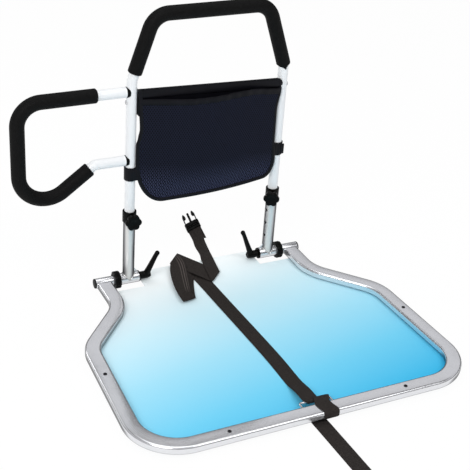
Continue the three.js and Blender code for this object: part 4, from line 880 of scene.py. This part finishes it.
def baseTube():
    z = base["z"]
    half = [(base["startX"], base["startY"], z)] + [(x, y, z, bend) for x, y, bend in base["bends"]]
    corners = [(-c[0], *c[1:]) for c in half] + list(reversed(half))
    return runTree(lineObject("baseTube", bentLine(corners, 2)), oblongTube, {
        "Width": base["width"] * mm, "Height": base["height"] * mm, "Corner": base["corner"] * mm, "Sides": 8,
        "Finish": chromePlate}, recalc=True)


# The weld round the end of the base tube, where it meets the cross tube.
def crossBead(sign):
    points = []
    reach = base["cross"]["radius"]
    wide, high, corner = base["width"] / 2, base["height"] / 2, base["corner"]
    for cx, cz, start in ((1, 1, 0), (-1, 1, 90), (-1, -1, 180), (1, -1, 270)):
        for k in range(7):
            a = math.radians(start + 15 * k)
            x = cx * (wide - corner) + corner * math.cos(a)
            z = base["z"] + cz * (high - corner) + corner * math.sin(a)
            y = -math.sqrt(max(reach ** 2 - (z - rail["hingeZ"]) ** 2, 0))
            points.append(Vector((sign * base["startX"] + x, y - 0.4, z)))
    return tube(f"weld{sign}", points, 2 * base["bead"], chromePlate, 10, closed=True)


mount(joinPieces("baseTube", [baseTube(), crossBead(-1), crossBead(1)]), "base", "chrome", "base_tube")

loop = base["loop"]
loopLine = bentLine([
    (loop["left"], loop["barY"], loop["z"]), (loop["left"], loop["y"], loop["z"], loop["bend"]),
    (loop["right"], loop["y"], loop["z"], loop["bend"]), (loop["right"], loop["barY"], loop["z"])], 10)
mount(tube("strapLoop", loopLine, 2 * loop["radius"], chromePlate, 20), "base", "chrome", "strap_loop")

cross = base["cross"]
hingeAxis = (0, 0, rail["hingeZ"])
for side, sign in sides:
    outward = (sign, 0, 0)
    radius, outer = cross["radius"], cross["outer"]
    capStart, capFoot = outer + cross["gap"], outer - cross["capInset"]
    crossTube = sleevePiece(f"{side}CrossTube", radius, radius - cross["wall"], cross["inner"], outer, 0.4,
                            hingeAxis, outward, chromePlate)
    mount(crossTube, "base", "chrome", f"{side}_cross_tube")
    capProfile = [(0, capFoot), (10, capFoot)] + barProfile(radius, capStart, capStart + cross["cap"], 1.2)[1:]
    cap = turnedPiece(f"{side}EndCap", capProfile, hingeAxis, outward, mouldedNylon)
    mount(cap, "base", "black_plastic", f"{side}_end_cap")

# Panel screws: pan heads with a cross recess, one shape on four points
head = base["screwHead"]
panProfile = [(0, -0.4), (head["radius"], -0.4), (head["radius"], 0.3), (head["radius"] * 0.86, 1.1),
              (head["radius"] * 0.55, head["high"]), (0, head["high"])]
panHead = turnedPiece("panHead", panProfile, (0, 0, 0), zAxis, blackedSteel, 32)
arms = (head["recessHalf"], head["recessWide"])
carve(panHead, [boxPiece("recess", (-x, -y, 0.7), (x, y, 6), blackedSteel, 0) for x, y in (arms, arms[::-1])])
panHead.data.transform(Matrix.Translation(-middle))
spots = bpy.data.meshes.new("panelScrews")
spots.from_pydata([place((x, y, base["screwZ"])) for x, y in base["screws"]], [], [])
screws = runTree(linkMesh("panelScrews", spots), piecesOnPoints, {"Shape": panHead, "Finish": blackedSteel})
bpy.data.objects.remove(panHead)
mount(screws, "base", "black_steel", "left_arm_screw", "right_arm_screw", "front_left_screw", "front_right_screw")
print("base dressed")

# Hinges: toothed discs, foot tubes, plugs and levers
hinge = {
    "baseDisc": (232, 239), "postDisc": (224.7, 231.7), "radius": 22.5, "teeth": 8, "notch": 2.4,
    # one pitch of the toothed edge: share of the pitch from the tooth's middle, share of the notch's depth
    "tooth": [(-0.42, 0.4), (-0.34, 0), (-0.17, 0), (0, 0), (0.17, 0), (0.34, 0), (0.42, 0.4), (0.5, 1)],
    "collarRing": (18.6, 15.8, 0.6),
    "foot": {"radius": 15, "wall": 1.6, "inner": 174, "outer": 224.4},
    "plug": {"radius": 14.6, "bore": 4.4, "inner": 170.7, "outer": 173.7},
    "hub": {"inner": 140, "outer": 170.4, "radius": 10},
    # the lever's line: distance from the mid-plane, rise over the hinge axis, half its width, half its thickness
    "lever": {"path": [(151, 2, 8.6, 8.6), (148.5, 9, 8.6, 8), (144.5, 20, 8.4, 6.9), (139.5, 34, 8, 6.2),
                       (134, 50, 7.4, 5.5), (130.5, 60, 6.8, 5.4), (127, 67.6, 6.3, 6)],
              "lean": {"left": -11, "right": 7}, "grain": 0.55},
}


def hingeDisc(sign, span, name):
    pitch = 2 * math.pi / hinge["teeth"]
    outline = []
    for tooth in range(hinge["teeth"]):
        for along, down in hinge["tooth"]:
            angle, radius = (tooth + along) * pitch, hinge["radius"] - down * hinge["notch"]
            outline.append((radius * math.sin(angle), radius * math.cos(angle)))
    turn = Matrix.Translation(hingeAxis) @ Matrix.Rotation(math.radians(90 * sign), 4, "Y")
    disc = platePiece(name, outline, *span, mouldedNylon, 1.1, turn)
    outer, inner, proud = hinge["collarRing"]
    low, high = (span[1] - 1, span[1] + proud) if span is hinge["baseDisc"] else (span[0] - proud, span[0] + 1)
    ring = sleevePiece("ring", outer, inner, low, high, 0.4, hingeAxis, (sign, 0, 0), mouldedNylon, 64)
    return joinPieces(name, [disc, ring])


def leverArm(side, sign):
    lever = hinge["lever"]
    lean = math.radians(lever["lean"][side])
    wide = Vector((0, math.cos(lean), -math.sin(lean)))
    path = [(Vector((sign * out, rise * math.sin(lean), rail["hingeZ"] + rise * math.cos(lean))), across, deep)
            for out, rise, across, deep in lever["path"]]
    rows = []
    for i, (centre, across, deep) in enumerate(path):
        run = (path[min(i + 1, len(path) - 1)][0] - path[max(i - 1, 0)][0]).normalized()
        thick = run.cross(wide)
        rows.append([place(centre + wide * math.cos(a) * across + thick * math.sin(a) * deep)
                     for a in circle(28)])
    centre, radius, _ = path[-1]
    turns = [math.pi * i / 12 for i in range(13)]
    ball = [(radius * math.sin(a), -radius * math.cos(a)) for a in turns]
    return [rowsPiece(f"{side}Arm", rows, mouldedNylon),
            turnedPiece(f"{side}ArmTip", ball, centre, zAxis, mouldedNylon, 28)]


for side, sign in sides:
    outward = (sign, 0, 0)
    disc = hingeDisc(sign, hinge["baseDisc"], f"{side}BaseDisc")
    mount(disc, "base", "black_plastic", f"{side}_base_disc")
    disc = hingeDisc(sign, hinge["postDisc"], f"{side}PostDisc")
    mount(disc, "uprights", "black_plastic", f"{side}_post_disc")
    foot, plug, hub = hinge["foot"], hinge["plug"], hinge["hub"]
    footTube = sleevePiece(f"{side}FootTube", foot["radius"], foot["radius"] - foot["wall"], foot["inner"],
                           foot["outer"], 0.4, hingeAxis, outward, chromePlate)
    mount(footTube, "uprights", "chrome", f"{side}_foot_tube")
    footPlug = sleevePiece(f"{side}FootPlug", plug["radius"], plug["bore"], plug["inner"], plug["outer"], 0.9,
                           hingeAxis, outward, mouldedNylon, 64)
    mount(footPlug, "uprights", "black_plastic", f"{side}_foot_plug")
    radius, start, end = hub["radius"], hub["inner"], hub["outer"]
    hubProfile = [(0, start + 0.4), (4, start + 0.4), (4.6, start), (7.4, start), (8.4, start + 1.2),
                  (9.4, start + 6), (radius, start + 9), (radius, end - 0.8), (radius - 0.8, end), (0, end)]
    hubBody = turnedPiece(f"{side}Hub", hubProfile, hingeAxis, outward, mouldedNylon)
    lever = mould(joinPieces(f"{side}Lever", [hubBody, *leverArm(side, sign)]), hinge["lever"]["grain"], 2)
    mount(lever, f"{side}_lever", "black_plastic", f"{side}_clamp_lever")
print("hinges dressed")

# Lower posts with their adjusting holes, gussets, collars and clamp knobs
post = {
    "radius": 15, "wall": 1.5, "bottom": 26, "top": 214, "holeRadius": 4.1, "holeTop": 192.4, "holePitch": 37.5,
    "holeCount": 4, "holeTurn": 76, "bead": 1.5,
    "collar": {"radius": 17.5, "bore": 13.1, "bottom": 189, "top": 219, "boss": 8, "bossStart": 16,
               "bossReach": 22},
    "knob": {"z": 199, "radius": 21, "thick": 13, "lobes": 6, "scallop": 4, "turn": {"left": 0, "right": 30}},
    "gusset": {"run": 10, "rise": 12, "thick": 3},
}


def fromPost(sign, degrees, out, z):
    a = math.radians(degrees)
    return Vector((sign * (rail["postX"] - out * math.sin(a)), -out * math.cos(a), z))


def lowerPost(side, sign):
    radius, foot = post["radius"], (sign * rail["postX"], 0, 0)
    piece = sleevePiece(f"{side}LowerPost", radius, radius - post["wall"], post["bottom"], post["top"], 0.4, foot,
                        zAxis, satinChrome)
    tools = []
    for i in range(post["holeCount"]):
        z = post["holeTop"] - i * post["holePitch"]
        start = fromPost(sign, post["holeTurn"], 4, z)
        way = fromPost(sign, post["holeTurn"], 30, z) - start
        tools.append(turnedPiece("hole", [(0, 0), (post["holeRadius"], 0), (post["holeRadius"], 26), (0, 26)],
                                 start, way, satinChrome, 40))
    carve(piece, tools)
    # the post's inner faces take the near-black painted shade
    piece.data.materials.append(boreShade)
    for face in piece.data.polygons:
        if (face.center - place(foot)).xy.length < (radius - 0.3) * mm and abs(face.normal.z) < 0.9:
            face.material_index = 1
    points = []
    for a in circle(72):
        y = radius * math.sin(a)
        points.append(Vector((foot[0] + radius * math.cos(a), y,
                              rail["hingeZ"] + math.sqrt(max(radius ** 2 - y ** 2, 0)) + 0.5)))
    bead = tube("footWeld", points, 2 * post["bead"], satinChrome, 10, closed=True)
    return joinPieces(f"{side}LowerPost", [piece, bead])


def knobPiece(side, sign):
    size = post["knob"]
    turn, thick = size["turn"][side], size["thick"]
    axis, first, second = axisFrame(fromPost(sign, turn, 1, 0) - fromPost(sign, turn, 0, 0))
    start = fromPost(sign, turn, post["collar"]["bossReach"] + 0.4, size["z"])
    # rows: share of the lobed edge, distance along the axis, how much of the lobes shows
    profile = [(0, 0, 0), (0.45, 0, 0), (0.88, 0, 1), (0.96, 0.5, 1), (1, 2, 1), (1, thick - 3, 1),
               (0.97, thick - 1.4, 1), (0.9, thick - 0.5, 1), (0.8, thick - 0.1, 0.8), (0.5, thick, 0),
               (0.45, thick - 0.5, 0), (0.4, thick - 0.9, 0), (0, thick - 0.9, 0)]
    rows = []
    for share, along, lobed in profile:
        ring = []
        for a in circle(144):
            dip = size["scallop"] * (1 - abs(math.cos(size["lobes"] * a / 2))) * lobed
            radius = share * (size["radius"] - dip)
            ring.append(place(start + axis * along + (first * math.cos(a) + second * math.sin(a)) * radius))
        rows.append(ring)
    return rowsPiece(f"{side}Knob", rows, mouldedNylon, sharp=40)


for side, sign in sides:
    mount(lowerPost(side, sign), "uprights", "chrome", f"{side}_lower_post")
    size = post["gusset"]
    corner = rail["postX"] - post["radius"] + 0.4
    low = rail["hingeZ"] + hinge["foot"]["radius"] - 0.4
    high, out, half = low + size["rise"], corner - size["run"], size["thick"] / 2
    outline = [(sign * x, z) for x, z in ((corner, low), (out, low), (out, low + 1.5), (corner - 1.5, high),
                                          (corner, high))]
    gusset = platePiece(f"{side}Gusset", outline, -half, half, chromePlate, 0.5,
                        Matrix.Rotation(math.radians(90), 4, "X"))
    mount(gusset, "uprights", "chrome", f"{side}_gusset")

    size, turn = post["collar"], post["knob"]["turn"][side]
    sleeve = sleevePiece(f"{side}Collar", size["radius"], size["bore"], size["bottom"], size["top"], 1.6,
                         (sign * rail["postX"], 0, 0), zAxis, mouldedNylon)
    way = fromPost(sign, turn, 1, 0) - fromPost(sign, turn, 0, 0)
    bossStart = fromPost(sign, turn, size["bossStart"], post["knob"]["z"])
    bossProfile = barProfile(size["boss"], 0, size["bossReach"] - size["bossStart"], 0.6)
    boss = turnedPiece("boss", bossProfile, bossStart, way, mouldedNylon, 48)
    mount(joinPieces(f"{side}Collar", [sleeve, boss]), "uprights", "black_plastic", f"{side}_collar")
    mount(knobPiece(side, sign), f"{side}_clamp_knob", "black_plastic", f"{side}_knob")
print("posts dressed")

# Upper frame, side handle, their foam grips, saddles and bolts
upper = {
    "tube": 25.4, "bottom": 164, "leanZ": 562, "leanBend": 60, "hoopX": 147.3, "hoopZ": 718, "hoopBend": 50,
    "gripStart": 8.1, "gripTail": 1, "gripBendShare": 0.5, "foam": 17.5, "foamEdge": 4,
    "handle": {"start": 214.8, "topZ": 535, "lowZ": 358, "x": 476.7, "topBend": 57, "footZ": 221, "footBend": 67,
               "kinkX": 292, "kinkBend": 20, "gripTop": 287, "gripLow": 303},
    "saddle": {"radius": 13.2, "inner": 206, "outer": 214.5, "bite": 12.9},
    "bolt": {"radius": 6, "high": 2.4},
}
hoopCorners = [(x, 0, upper["hoopZ"], upper["hoopBend"]) for x in (-upper["hoopX"], upper["hoopX"])]
frameLine = bentLine([
    (-rail["postX"], 0, upper["bottom"]), (-rail["postX"], 0, upper["leanZ"], upper["leanBend"]), *hoopCorners,
    (rail["postX"], 0, upper["leanZ"], upper["leanBend"]), (rail["postX"], 0, upper["bottom"])], 3)
mount(tube("upperFrame", frameLine, upper["tube"], powderCoat), "upper_hoop", "white_coat", "upper_frame")

lean = math.atan2(rail["postX"] - upper["hoopX"], upper["hoopZ"] - upper["leanZ"])
bendReach = upper["leanBend"] * math.tan(lean / 2)


def onLean(sign, along):
    return Vector((sign * (rail["postX"] - along * math.sin(lean)), 0, upper["leanZ"] + along * math.cos(lean)))


# On the right the grip runs on round part of the leg's bend.
covered = lean * upper["gripBendShare"]
coveredReach = upper["leanBend"] * math.tan(covered / 2)
knee = onLean(1, bendReach - coveredReach)
onward = Vector((math.sin(lean - covered), 0, -math.cos(lean - covered)))
gripEnd = knee + onward * (coveredReach + upper["gripTail"])
gripStart = onLean(-1, bendReach + upper["gripStart"])
gripLine = bentLine([gripStart, *hoopCorners, (*knee, upper["leanBend"]), gripEnd], 3)
mount(foamPiece("topGrip", gripLine, upper["foam"], upper["foamEdge"]), "upper_hoop", "foam", "top_grip")

handle = upper["handle"]
slope = (handle["lowZ"] - handle["footZ"]) / (handle["x"] - handle["kinkX"])
handleCorners = [(-handle["x"], 0, handle["topZ"], handle["topBend"]),
                 (-handle["x"], 0, handle["footZ"], handle["footBend"])]
handleLine = bentLine([
    (-handle["start"], 0, handle["topZ"]), *handleCorners,
    (-handle["kinkX"], 0, handle["lowZ"], handle["kinkBend"]), (-handle["start"], 0, handle["lowZ"])], 3)
mount(tube("sideHandle", handleLine, upper["tube"], powderCoat), "upper_hoop", "white_coat", "side_handle")
lowEnd = (-handle["gripLow"], 0, handle["lowZ"] - slope * (handle["gripLow"] - handle["kinkX"]))
sideLine = bentLine([(-handle["gripTop"], 0, handle["topZ"]), *handleCorners, lowEnd], 3)
mount(foamPiece("sideGrip", sideLine, upper["foam"], upper["foamEdge"]), "upper_hoop", "foam", "side_grip")


def domeBolt(name, sign, z, way):
    radius, high = upper["bolt"]["radius"], upper["bolt"]["high"]
    profile = [(0, -3), (3, -3), (3, 0), (radius, 0), (radius, 0.7), (radius * 0.93, 1.3), (radius * 0.75, 1.9),
               (radius * 0.45, 2.3), (0, high)]
    face = sign * rail["postX"] + way * upper["tube"] / 2
    return turnedPiece(name, profile, (face, 0, z), (way, 0, 0), chromePlate, 48)


for which, z in (("upper", handle["topZ"]), ("lower", handle["lowZ"])):
    size = upper["saddle"]
    saddle = turnedPiece(f"{which}Saddle", barProfile(size["radius"], size["inner"], size["outer"], 1.4),
                         (0, 0, z), (-1, 0, 0), mouldedNylon)
    leg = turnedPiece("leg", [(0, -40), (size["bite"], -40), (size["bite"], 40), (0, 40)],
                      (-rail["postX"], 0, z), zAxis, mouldedNylon, 96)
    mount(carve(saddle, [leg]), "upper_hoop", "black_plastic", f"{which}_saddle")
    mount(domeBolt(f"{which}HandleBolt", -1, z, 1), "upper_hoop", "chrome", f"{which}_handle_bolt")
print("upper frame dressed")

# Pocket: a mesh front and a plain back, their top band, bindings, tabs, bolts and bands round the uprights
pocket = {
    "backY": -10, "frontY": -13, "bulge": 21, "bellyHigh": 90, "wall": 1.2,
    # the side edges, (height, distance from the mid-plane)
    "left": [(385, -191), (402, -190.5), (417, -186), (440, -182), (500, -185), (544, -188)],
    "right": [(305, 190), (362, 185), (445, 184), (506, 192)],
    # the bottom edge: level, then rising to the right, with a wide left corner and a tight right one
    "bottom": {"z": 239, "level": -70, "right": 160, "rise": 19, "power": 2.1},
    "corner": {"left": (-191, 76, 109), "right": (190, 30, 45)},
    "top": {"left": 544, "right": 531, "turn": 0.93, "drop": 25},
    "rim": [(-1, 518), (-0.15, 510.6), (0.5, 515.5), (1, 505)],
    "across": 96, "down": 64, "gather": 1.8, "gathers": 13, "foldSpan": 184, "fade": 85,
    # the front's slack waves: turns along x, turns along z, shift, height
    "slack": [(0.021, 0.017, 0, 1.2), (0.043, -0.028, 1.3, 0.7)],
    "bandHigh": 24, "tape": {"wide": 9.5, "thick": 6, "rimWide": 15, "rimThick": 2.6, "bandThick": 4.6,
                             "proud": 3.5, "over": 0.6, "rimProud": 0.4, "rimOver": 0.8, "bandProud": 2.2},
    "stitch": {"long": 2.2, "thick": 0.5, "pitch": 3.4, "inset": 2, "rimProud": 1.4, "bandProud": 2.3,
               "edgeInset": 2.4, "edgeProud": 2.7},
    "boltZ": 509, "hipX": 187,
    "tabs": {"left": (476, 541), "right": (496, 522), "x": (185.3, 186.8), "y": (-15, 7)},
    "loops": {"left": 306, "right": 318, "high": 35, "radius": 15.6, "bore": 13.1},
}


# A value between the listed ones, eased in and out at each of them.
def eased(table, at):
    if at <= table[0][0]:
        return table[0][1]
    for (low, first), (high, second) in zip(table, table[1:]):
        if at <= high:
            share = (at - low) / (high - low)
            return first + (second - first) * share * share * (3 - 2 * share)
    return table[-1][1]


# The fall of a quarter circle at a share of its width
def arc(share):
    return 1 - math.sqrt(max(1 - share ** 2, 0))


# Height of the bottom edge at a column; columns run from -1 at the left edge to 1 at the right one.
def bottomAt(u):
    size = pocket["bottom"]
    (leftX, leftWide, leftHigh), (rightX, rightWide, rightHigh) = pocket["corner"].values()
    x = leftX + (rightX - leftX) * (u + 1) / 2
    rise = size["rise"] * (max(x - size["level"], 0) / (size["right"] - size["level"])) ** size["power"]
    for reach, wide, high in ((leftX + leftWide - x, leftWide, leftHigh),
                              (x - rightX + rightWide, rightWide, rightHigh)):
        if reach > 0:
            rise += high * arc(reach / wide)
    return size["z"] + rise


def topAt(u):
    size = pocket["top"]
    level = size["left"] + (size["right"] - size["left"]) * min((u + 1) / (size["turn"] + 1), 1)
    return level - size["drop"] * arc(max(u - size["turn"], 0) / (1 - size["turn"]))


def pocketX(u, z):
    left, right = eased(pocket["left"], z), eased(pocket["right"], z)
    return left + (right - left) * (u + 1) / 2


# The front's stand-off from the uprights' plane: a slack belly, gathered along the rim.
def frontY(u, z):
    x = u * pocket["foldSpan"]
    across = 1 - (u * 0.97) ** 2
    share = min(max(z - bottomAt(u), 0) / pocket["bellyHigh"], 1)
    belly = share * share * (3 - 2 * share)
    folds = math.cos(u * math.pi * pocket["gathers"]) * 0.6 + math.sin(x * 0.083 + 0.7) * 0.4
    fade = math.exp(-max(eased(pocket["rim"], u) - z, 0) / pocket["fade"])
    slack = sum(math.sin(x * alongX + z * alongZ + shift) * high
                for alongX, alongZ, shift, high in pocket["slack"])
    loose = folds * pocket["gather"] * fade + slack
    return pocket["frontY"] - across * (pocket["bulge"] * belly + loose * share)


def pocketCloth():
    across, down = pocket["across"], pocket["down"]
    columns = [-math.cos(math.pi * i / across) * 0.6 + (2 * i / across - 1) * 0.4 for i in range(across + 1)]
    frontRows, backRows = [], []
    for k in range(down + 1):
        share = k / down
        front, back = [], []
        for u in columns:
            low, rim, top = bottomAt(u), eased(pocket["rim"], u), topAt(u)
            z = rim + (low - rim) * share
            front.append(Vector((pocketX(u, z), frontY(u, z), z)))
            z = low + (top - low) * share
            back.append(Vector((pocketX(u, z), pocket["backY"] - 0.9, z)))
        frontRows.append(front)
        backRows.append(back)
    rows = frontRows + backRows[1:]
    shape = bmesh.new()
    uvLayer = shape.loops.layers.uv.new("UVMap")
    grid, along = [], [0.0] * (across + 1)
    for k, row in enumerate(rows):
        line = []
        for i, point in enumerate(row):
            if k:
                along[i] += (point - rows[k - 1][i]).length
            line.append((shape.verts.new(place(point)), point.x * mm, along[i] * mm))
        grid.append(line)
    clothFaces(shape, uvLayer, grid)
    mesh = meshFrom("pocketCloth", shape)
    piece = linkMesh("pocketCloth", mesh, pocketMesh)
    mesh.materials.append(tapeCloth)
    # the back rows take the near-black tape cloth: a dark lining, and also painted shade inside the pocket's
    # opening
    for polygon in mesh.polygons:
        polygon.material_index = 1 if polygon.index > down * across else 0
    wall = piece.modifiers.new("wall", "SOLIDIFY")
    wall.thickness = pocket["wall"] * mm
    wall.offset = 0
    return settle(piece, 60)


# The edge of the pocket, set in by a distance: down the left, along the bottom and up the right.
def pocketEdge(inset, y):
    leftFoot, rightFoot = bottomAt(-1), bottomAt(1)
    outline = [(pocketX(-1, z), z) for z in (topAt(-1) - i * (topAt(-1) - leftFoot) / 32 for i in range(32))]
    for i in range(97):
        u = -math.cos(math.pi * i / 96)
        outline.append((pocketX(u, bottomAt(u)), bottomAt(u)))
    outline += [(pocketX(1, z), z) for z in (rightFoot + i * (topAt(1) - rightFoot) / 32 for i in range(1, 33))]
    points = []
    for i, (x, z) in enumerate(outline):
        before, after = outline[max(i - 1, 0)], outline[min(i + 1, len(outline) - 1)]
        run = Vector((after[0] - before[0], after[1] - before[1])).normalized()
        points.append(Vector((x - run.y * inset, y, z + run.x * inset)))
    return points


# A tape sewn flat over a line: a thin oblong section that keeps its face to the front.
def tapePiece(name, points, widths, thick):
    rows = []
    for i, point in enumerate(points):
        run = (points[min(i + 1, len(points) - 1)] - points[max(i - 1, 0)]).normalized()
        across = run.cross(frontward).normalized()
        ring = []
        for a in circle(16):
            c, s = math.cos(a), math.sin(a)
            ring.append(place(point + across * math.copysign(abs(c) ** 0.5, c) * widths[i] / 2
                              + frontward * math.copysign(abs(s) ** 0.7, s) * thick / 2))
        rows.append(ring)
    return rowsPiece(name, rows, tapeCloth, sharp=60)


def stitchRow(points):
    size = pocket["stitch"]
    long, thick = size["long"], size["thick"] / 2
    profile = [(0, -long / 2), (thick, -long / 3), (thick, long / 3), (0, long / 2)]
    stitch = turnedPiece("stitch", profile, (0, 0, 0), zAxis, tapeCloth, 6)
    stitch.data.transform(Matrix.Translation(-middle))
    row = runTree(lineObject("stitches", points), piecesAlong,
                  {"Pitch": size["pitch"] * mm, "Shape": stitch, "Finish": threadCloth}, sharp=60)
    bpy.data.objects.remove(stitch)
    return row


pocketPiece = mount(pocketCloth(), "upper_hoop", "pocket_cloth", "pocket")
tape = pocket["tape"]
frontward = Vector((0, -1, 0))
edgeY = pocket["backY"] - tape["proud"]
edgeLine = pocketEdge(tape["wide"] / 2 - tape["over"], edgeY)
rimLine = []
for i in range(81):
    u = (2 * i / 80 - 1) * 0.99
    z = eased(pocket["rim"], u)
    rimLine.append(Vector((pocketX(u, z), frontY(u, z) - tape["rimProud"],
                           z - tape["rimWide"] / 2 + tape["rimOver"])))
bandLine, bandWidths = [], []
for i in range(61):
    u = math.sin(math.pi / 2 * (2 * i / 60 - 1)) * 0.995
    low = topAt(min(u, pocket["top"]["turn"])) - pocket["bandHigh"]
    bandWidths.append(max(topAt(u) - low, 2))
    bandLine.append(Vector((pocketX(u, topAt(u)), pocket["backY"] - tape["bandProud"],
                            low + bandWidths[-1] / 2)))
trims = [tapePiece("edgeBinding", edgeLine, [tape["wide"]] * len(edgeLine), tape["thick"]),
         tapePiece("rimBinding", rimLine, [tape["rimWide"]] * len(rimLine), tape["rimThick"]),
         tapePiece("topBand", bandLine, bandWidths, tape["bandThick"])]
seam = pocket["stitch"]
bandRun = [p for p, wide in zip(bandLine, bandWidths) if wide > pocket["bandHigh"] - 1]
stitchLines = []
for line, proud, rise in ((rimLine, seam["rimProud"], tape["rimWide"] / 2 - seam["inset"]),
                          (bandRun, seam["bandProud"], pocket["bandHigh"] / 2 - seam["inset"])):
    for way in (-rise, rise):
        stitchLines.append([p + frontward * proud + Vector((0, 0, way)) for p in line])
stitchLines.append(pocketEdge(tape["wide"] - seam["edgeInset"], edgeY - seam["edgeProud"]))
trims.append(joinPieces("pocketStitches", [stitchRow(line) for line in stitchLines]))
for piece in trims:
    mount(piece, "upper_hoop", "pocket_cloth")


# A box between two distances from the mid-plane
def sideBox(name, sign, across, deep, high, edge):
    low, end = sorted(sign * x for x in across)
    return boxPiece(name, (low, deep[0], high[0]), (end, deep[1], high[1]), tapeCloth, edge)


for side, sign in sides:
    size, z = pocket["loops"], pocket["loops"][side]
    parts = [sleevePiece(f"{side}PocketLoop", size["radius"], size["bore"], z, z + size["high"], 1.0,
                         (sign * rail["postX"], 0, 0), zAxis, tapeCloth, 64)]
    postX, front = rail["postX"], -size["radius"]
    if side == "right":
        parts.append(sideBox("flap", sign, (postX + 4, postX + 14), (front - 0.6, front + 2.6),
                             (z + 4, z + 31), 0.7))
    parts.append(sideBox("bridge", sign, (pocket["hipX"] - 4, postX - 4), (front + 0.4, front + 3),
                         (z + 1, z + 34), 0.7))
    mount(joinPieces(f"{side}PocketLoop", parts), "upper_hoop", "pocket_cloth", f"{side}_pocket_band")
    dome = domeBolt(f"{side}PocketBolt", sign, pocket["boltZ"], sign)
    mount(dome, "upper_hoop", "chrome", f"{side}_pocket_bolt")
    size = pocket["tabs"]
    tab = sideBox(f"{side}PocketTab", sign, size["x"], size["y"], size[side], 0.4)
    mount(tab, "upper_hoop", "pocket_cloth")
print("pocket sewn")


# Studio: a pale floor, soft lamps and a plain world
studio = {
    "floor": {"colour": "#f4f4f5", "roughness": 0.9}, "floorSize": 14, "floorZ": -0.0006,
    "floorGlow": {"camera": 0.95, "mirror": 0.72}, "world": 0.62, "aim": (0, -0.2, 0.25),
    "lamps": [("key", (-2.4, -2.2, 2.8), 2.0, 66), ("front", (1.3, -2.0, 2.9), 1.6, 20),
              ("top", (0.2, 0.8, 3.6), 2.4, 22), ("rim", (-1.7, 2.5, 1.4), 0.9, 6)],
    # what polished metal sees, by height over the horizon
    "room": [(0.0, "#f0f0f2"), (0.05, "#f0f0f2"), (0.08, "#0c0c0e"), (0.42, "#0c0c0e"), (0.47, "#dddde1"),
             (0.66, "#d9d9dc"), (0.72, "#1c1c20"), (0.86, "#1c1c20"), (0.93, "#f2f2f4"), (1.0, "#f2f2f4")],
}


def makeFloor():
    half, z = studio["floorSize"] / 2, studio["floorZ"]
    mesh = bpy.data.meshes.new("floor")
    corners = [(-half, -half, z), (half, -half, z), (half, half, z), (-half, half, z)]
    mesh.from_pydata(corners, [], [(0, 1, 2, 3)])
    material, tree, shader, _ = newMaterial("studioFloor", studio["floor"])
    glow = addNode(tree, "ShaderNodeEmission", {"Color": (1, 1, 1, 1), "Strength": 1.0})
    ray = addNode(tree, "ShaderNodeLightPath").outputs
    glows = studio["floorGlow"]
    mirror = addNode(tree, "ShaderNodeMath", {0: ray["Is Glossy Ray"], 1: glows["mirror"]},
                     operation="MULTIPLY")
    part = addNode(tree, "ShaderNodeMath", {0: ray["Is Camera Ray"], 1: glows["camera"], 2: mirror},
                   operation="MULTIPLY_ADD")
    addNode(tree, "ShaderNodeMixShader", {0: part, 1: shader, 2: glow},
            into=tree.nodes["Material Output"].inputs[0])
    linkMesh("floor", mesh, material)


# White to the camera; to polished metal a room with grey walls between dark bands, as in a light tent.
def makeWorld():
    world = bpy.data.worlds.new("studio")
    world.use_nodes = True
    tree = world.node_tree
    tree.nodes.clear()
    ray = addNode(tree, "ShaderNodeLightPath").outputs
    direction = addNode(tree, "ShaderNodeTexCoord").outputs["Generated"]
    split = addNode(tree, "ShaderNodeSeparateXYZ", {0: direction}).outputs
    bands = addNode(tree, "ShaderNodeValToRGB", {"Fac": split["Z"]}, studio["room"])
    plain, mirror, white = [addNode(tree, "ShaderNodeBackground", {"Color": colour, "Strength": strength})
                            for colour, strength in (((1, 1, 1, 1), studio["world"]), (bands, 1.0),
                                                     ((1, 1, 1, 1), 1.0))]
    shiny = addNode(tree, "ShaderNodeMixShader", {0: ray["Is Glossy Ray"], 1: plain, 2: mirror})
    mixed = addNode(tree, "ShaderNodeMixShader", {0: ray["Is Camera Ray"], 1: shiny, 2: white})
    addNode(tree, "ShaderNodeOutputWorld", {0: mixed})
    bpy.context.scene.world = world


def makeLamps():
    aim = middle + Vector(studio["aim"])
    for name, spot, size, power in studio["lamps"]:
        data = bpy.data.lights.new(name, "AREA")
        data.shape = "DISK"
        data.size = size
        data.energy = power
        lamp = bpy.data.objects.new(name, data)
        bpy.context.scene.collection.objects.link(lamp)
        lamp.location = Vector(spot) + middle
        lamp.rotation_euler = (aim - lamp.location).to_track_quat("-Z", "Y").to_euler()


makeFloor()
makeWorld()
makeLamps()
bpy.context.scene.view_settings.view_transform = "Standard"
print("studio lit")

bpy.context.view_layer.update()
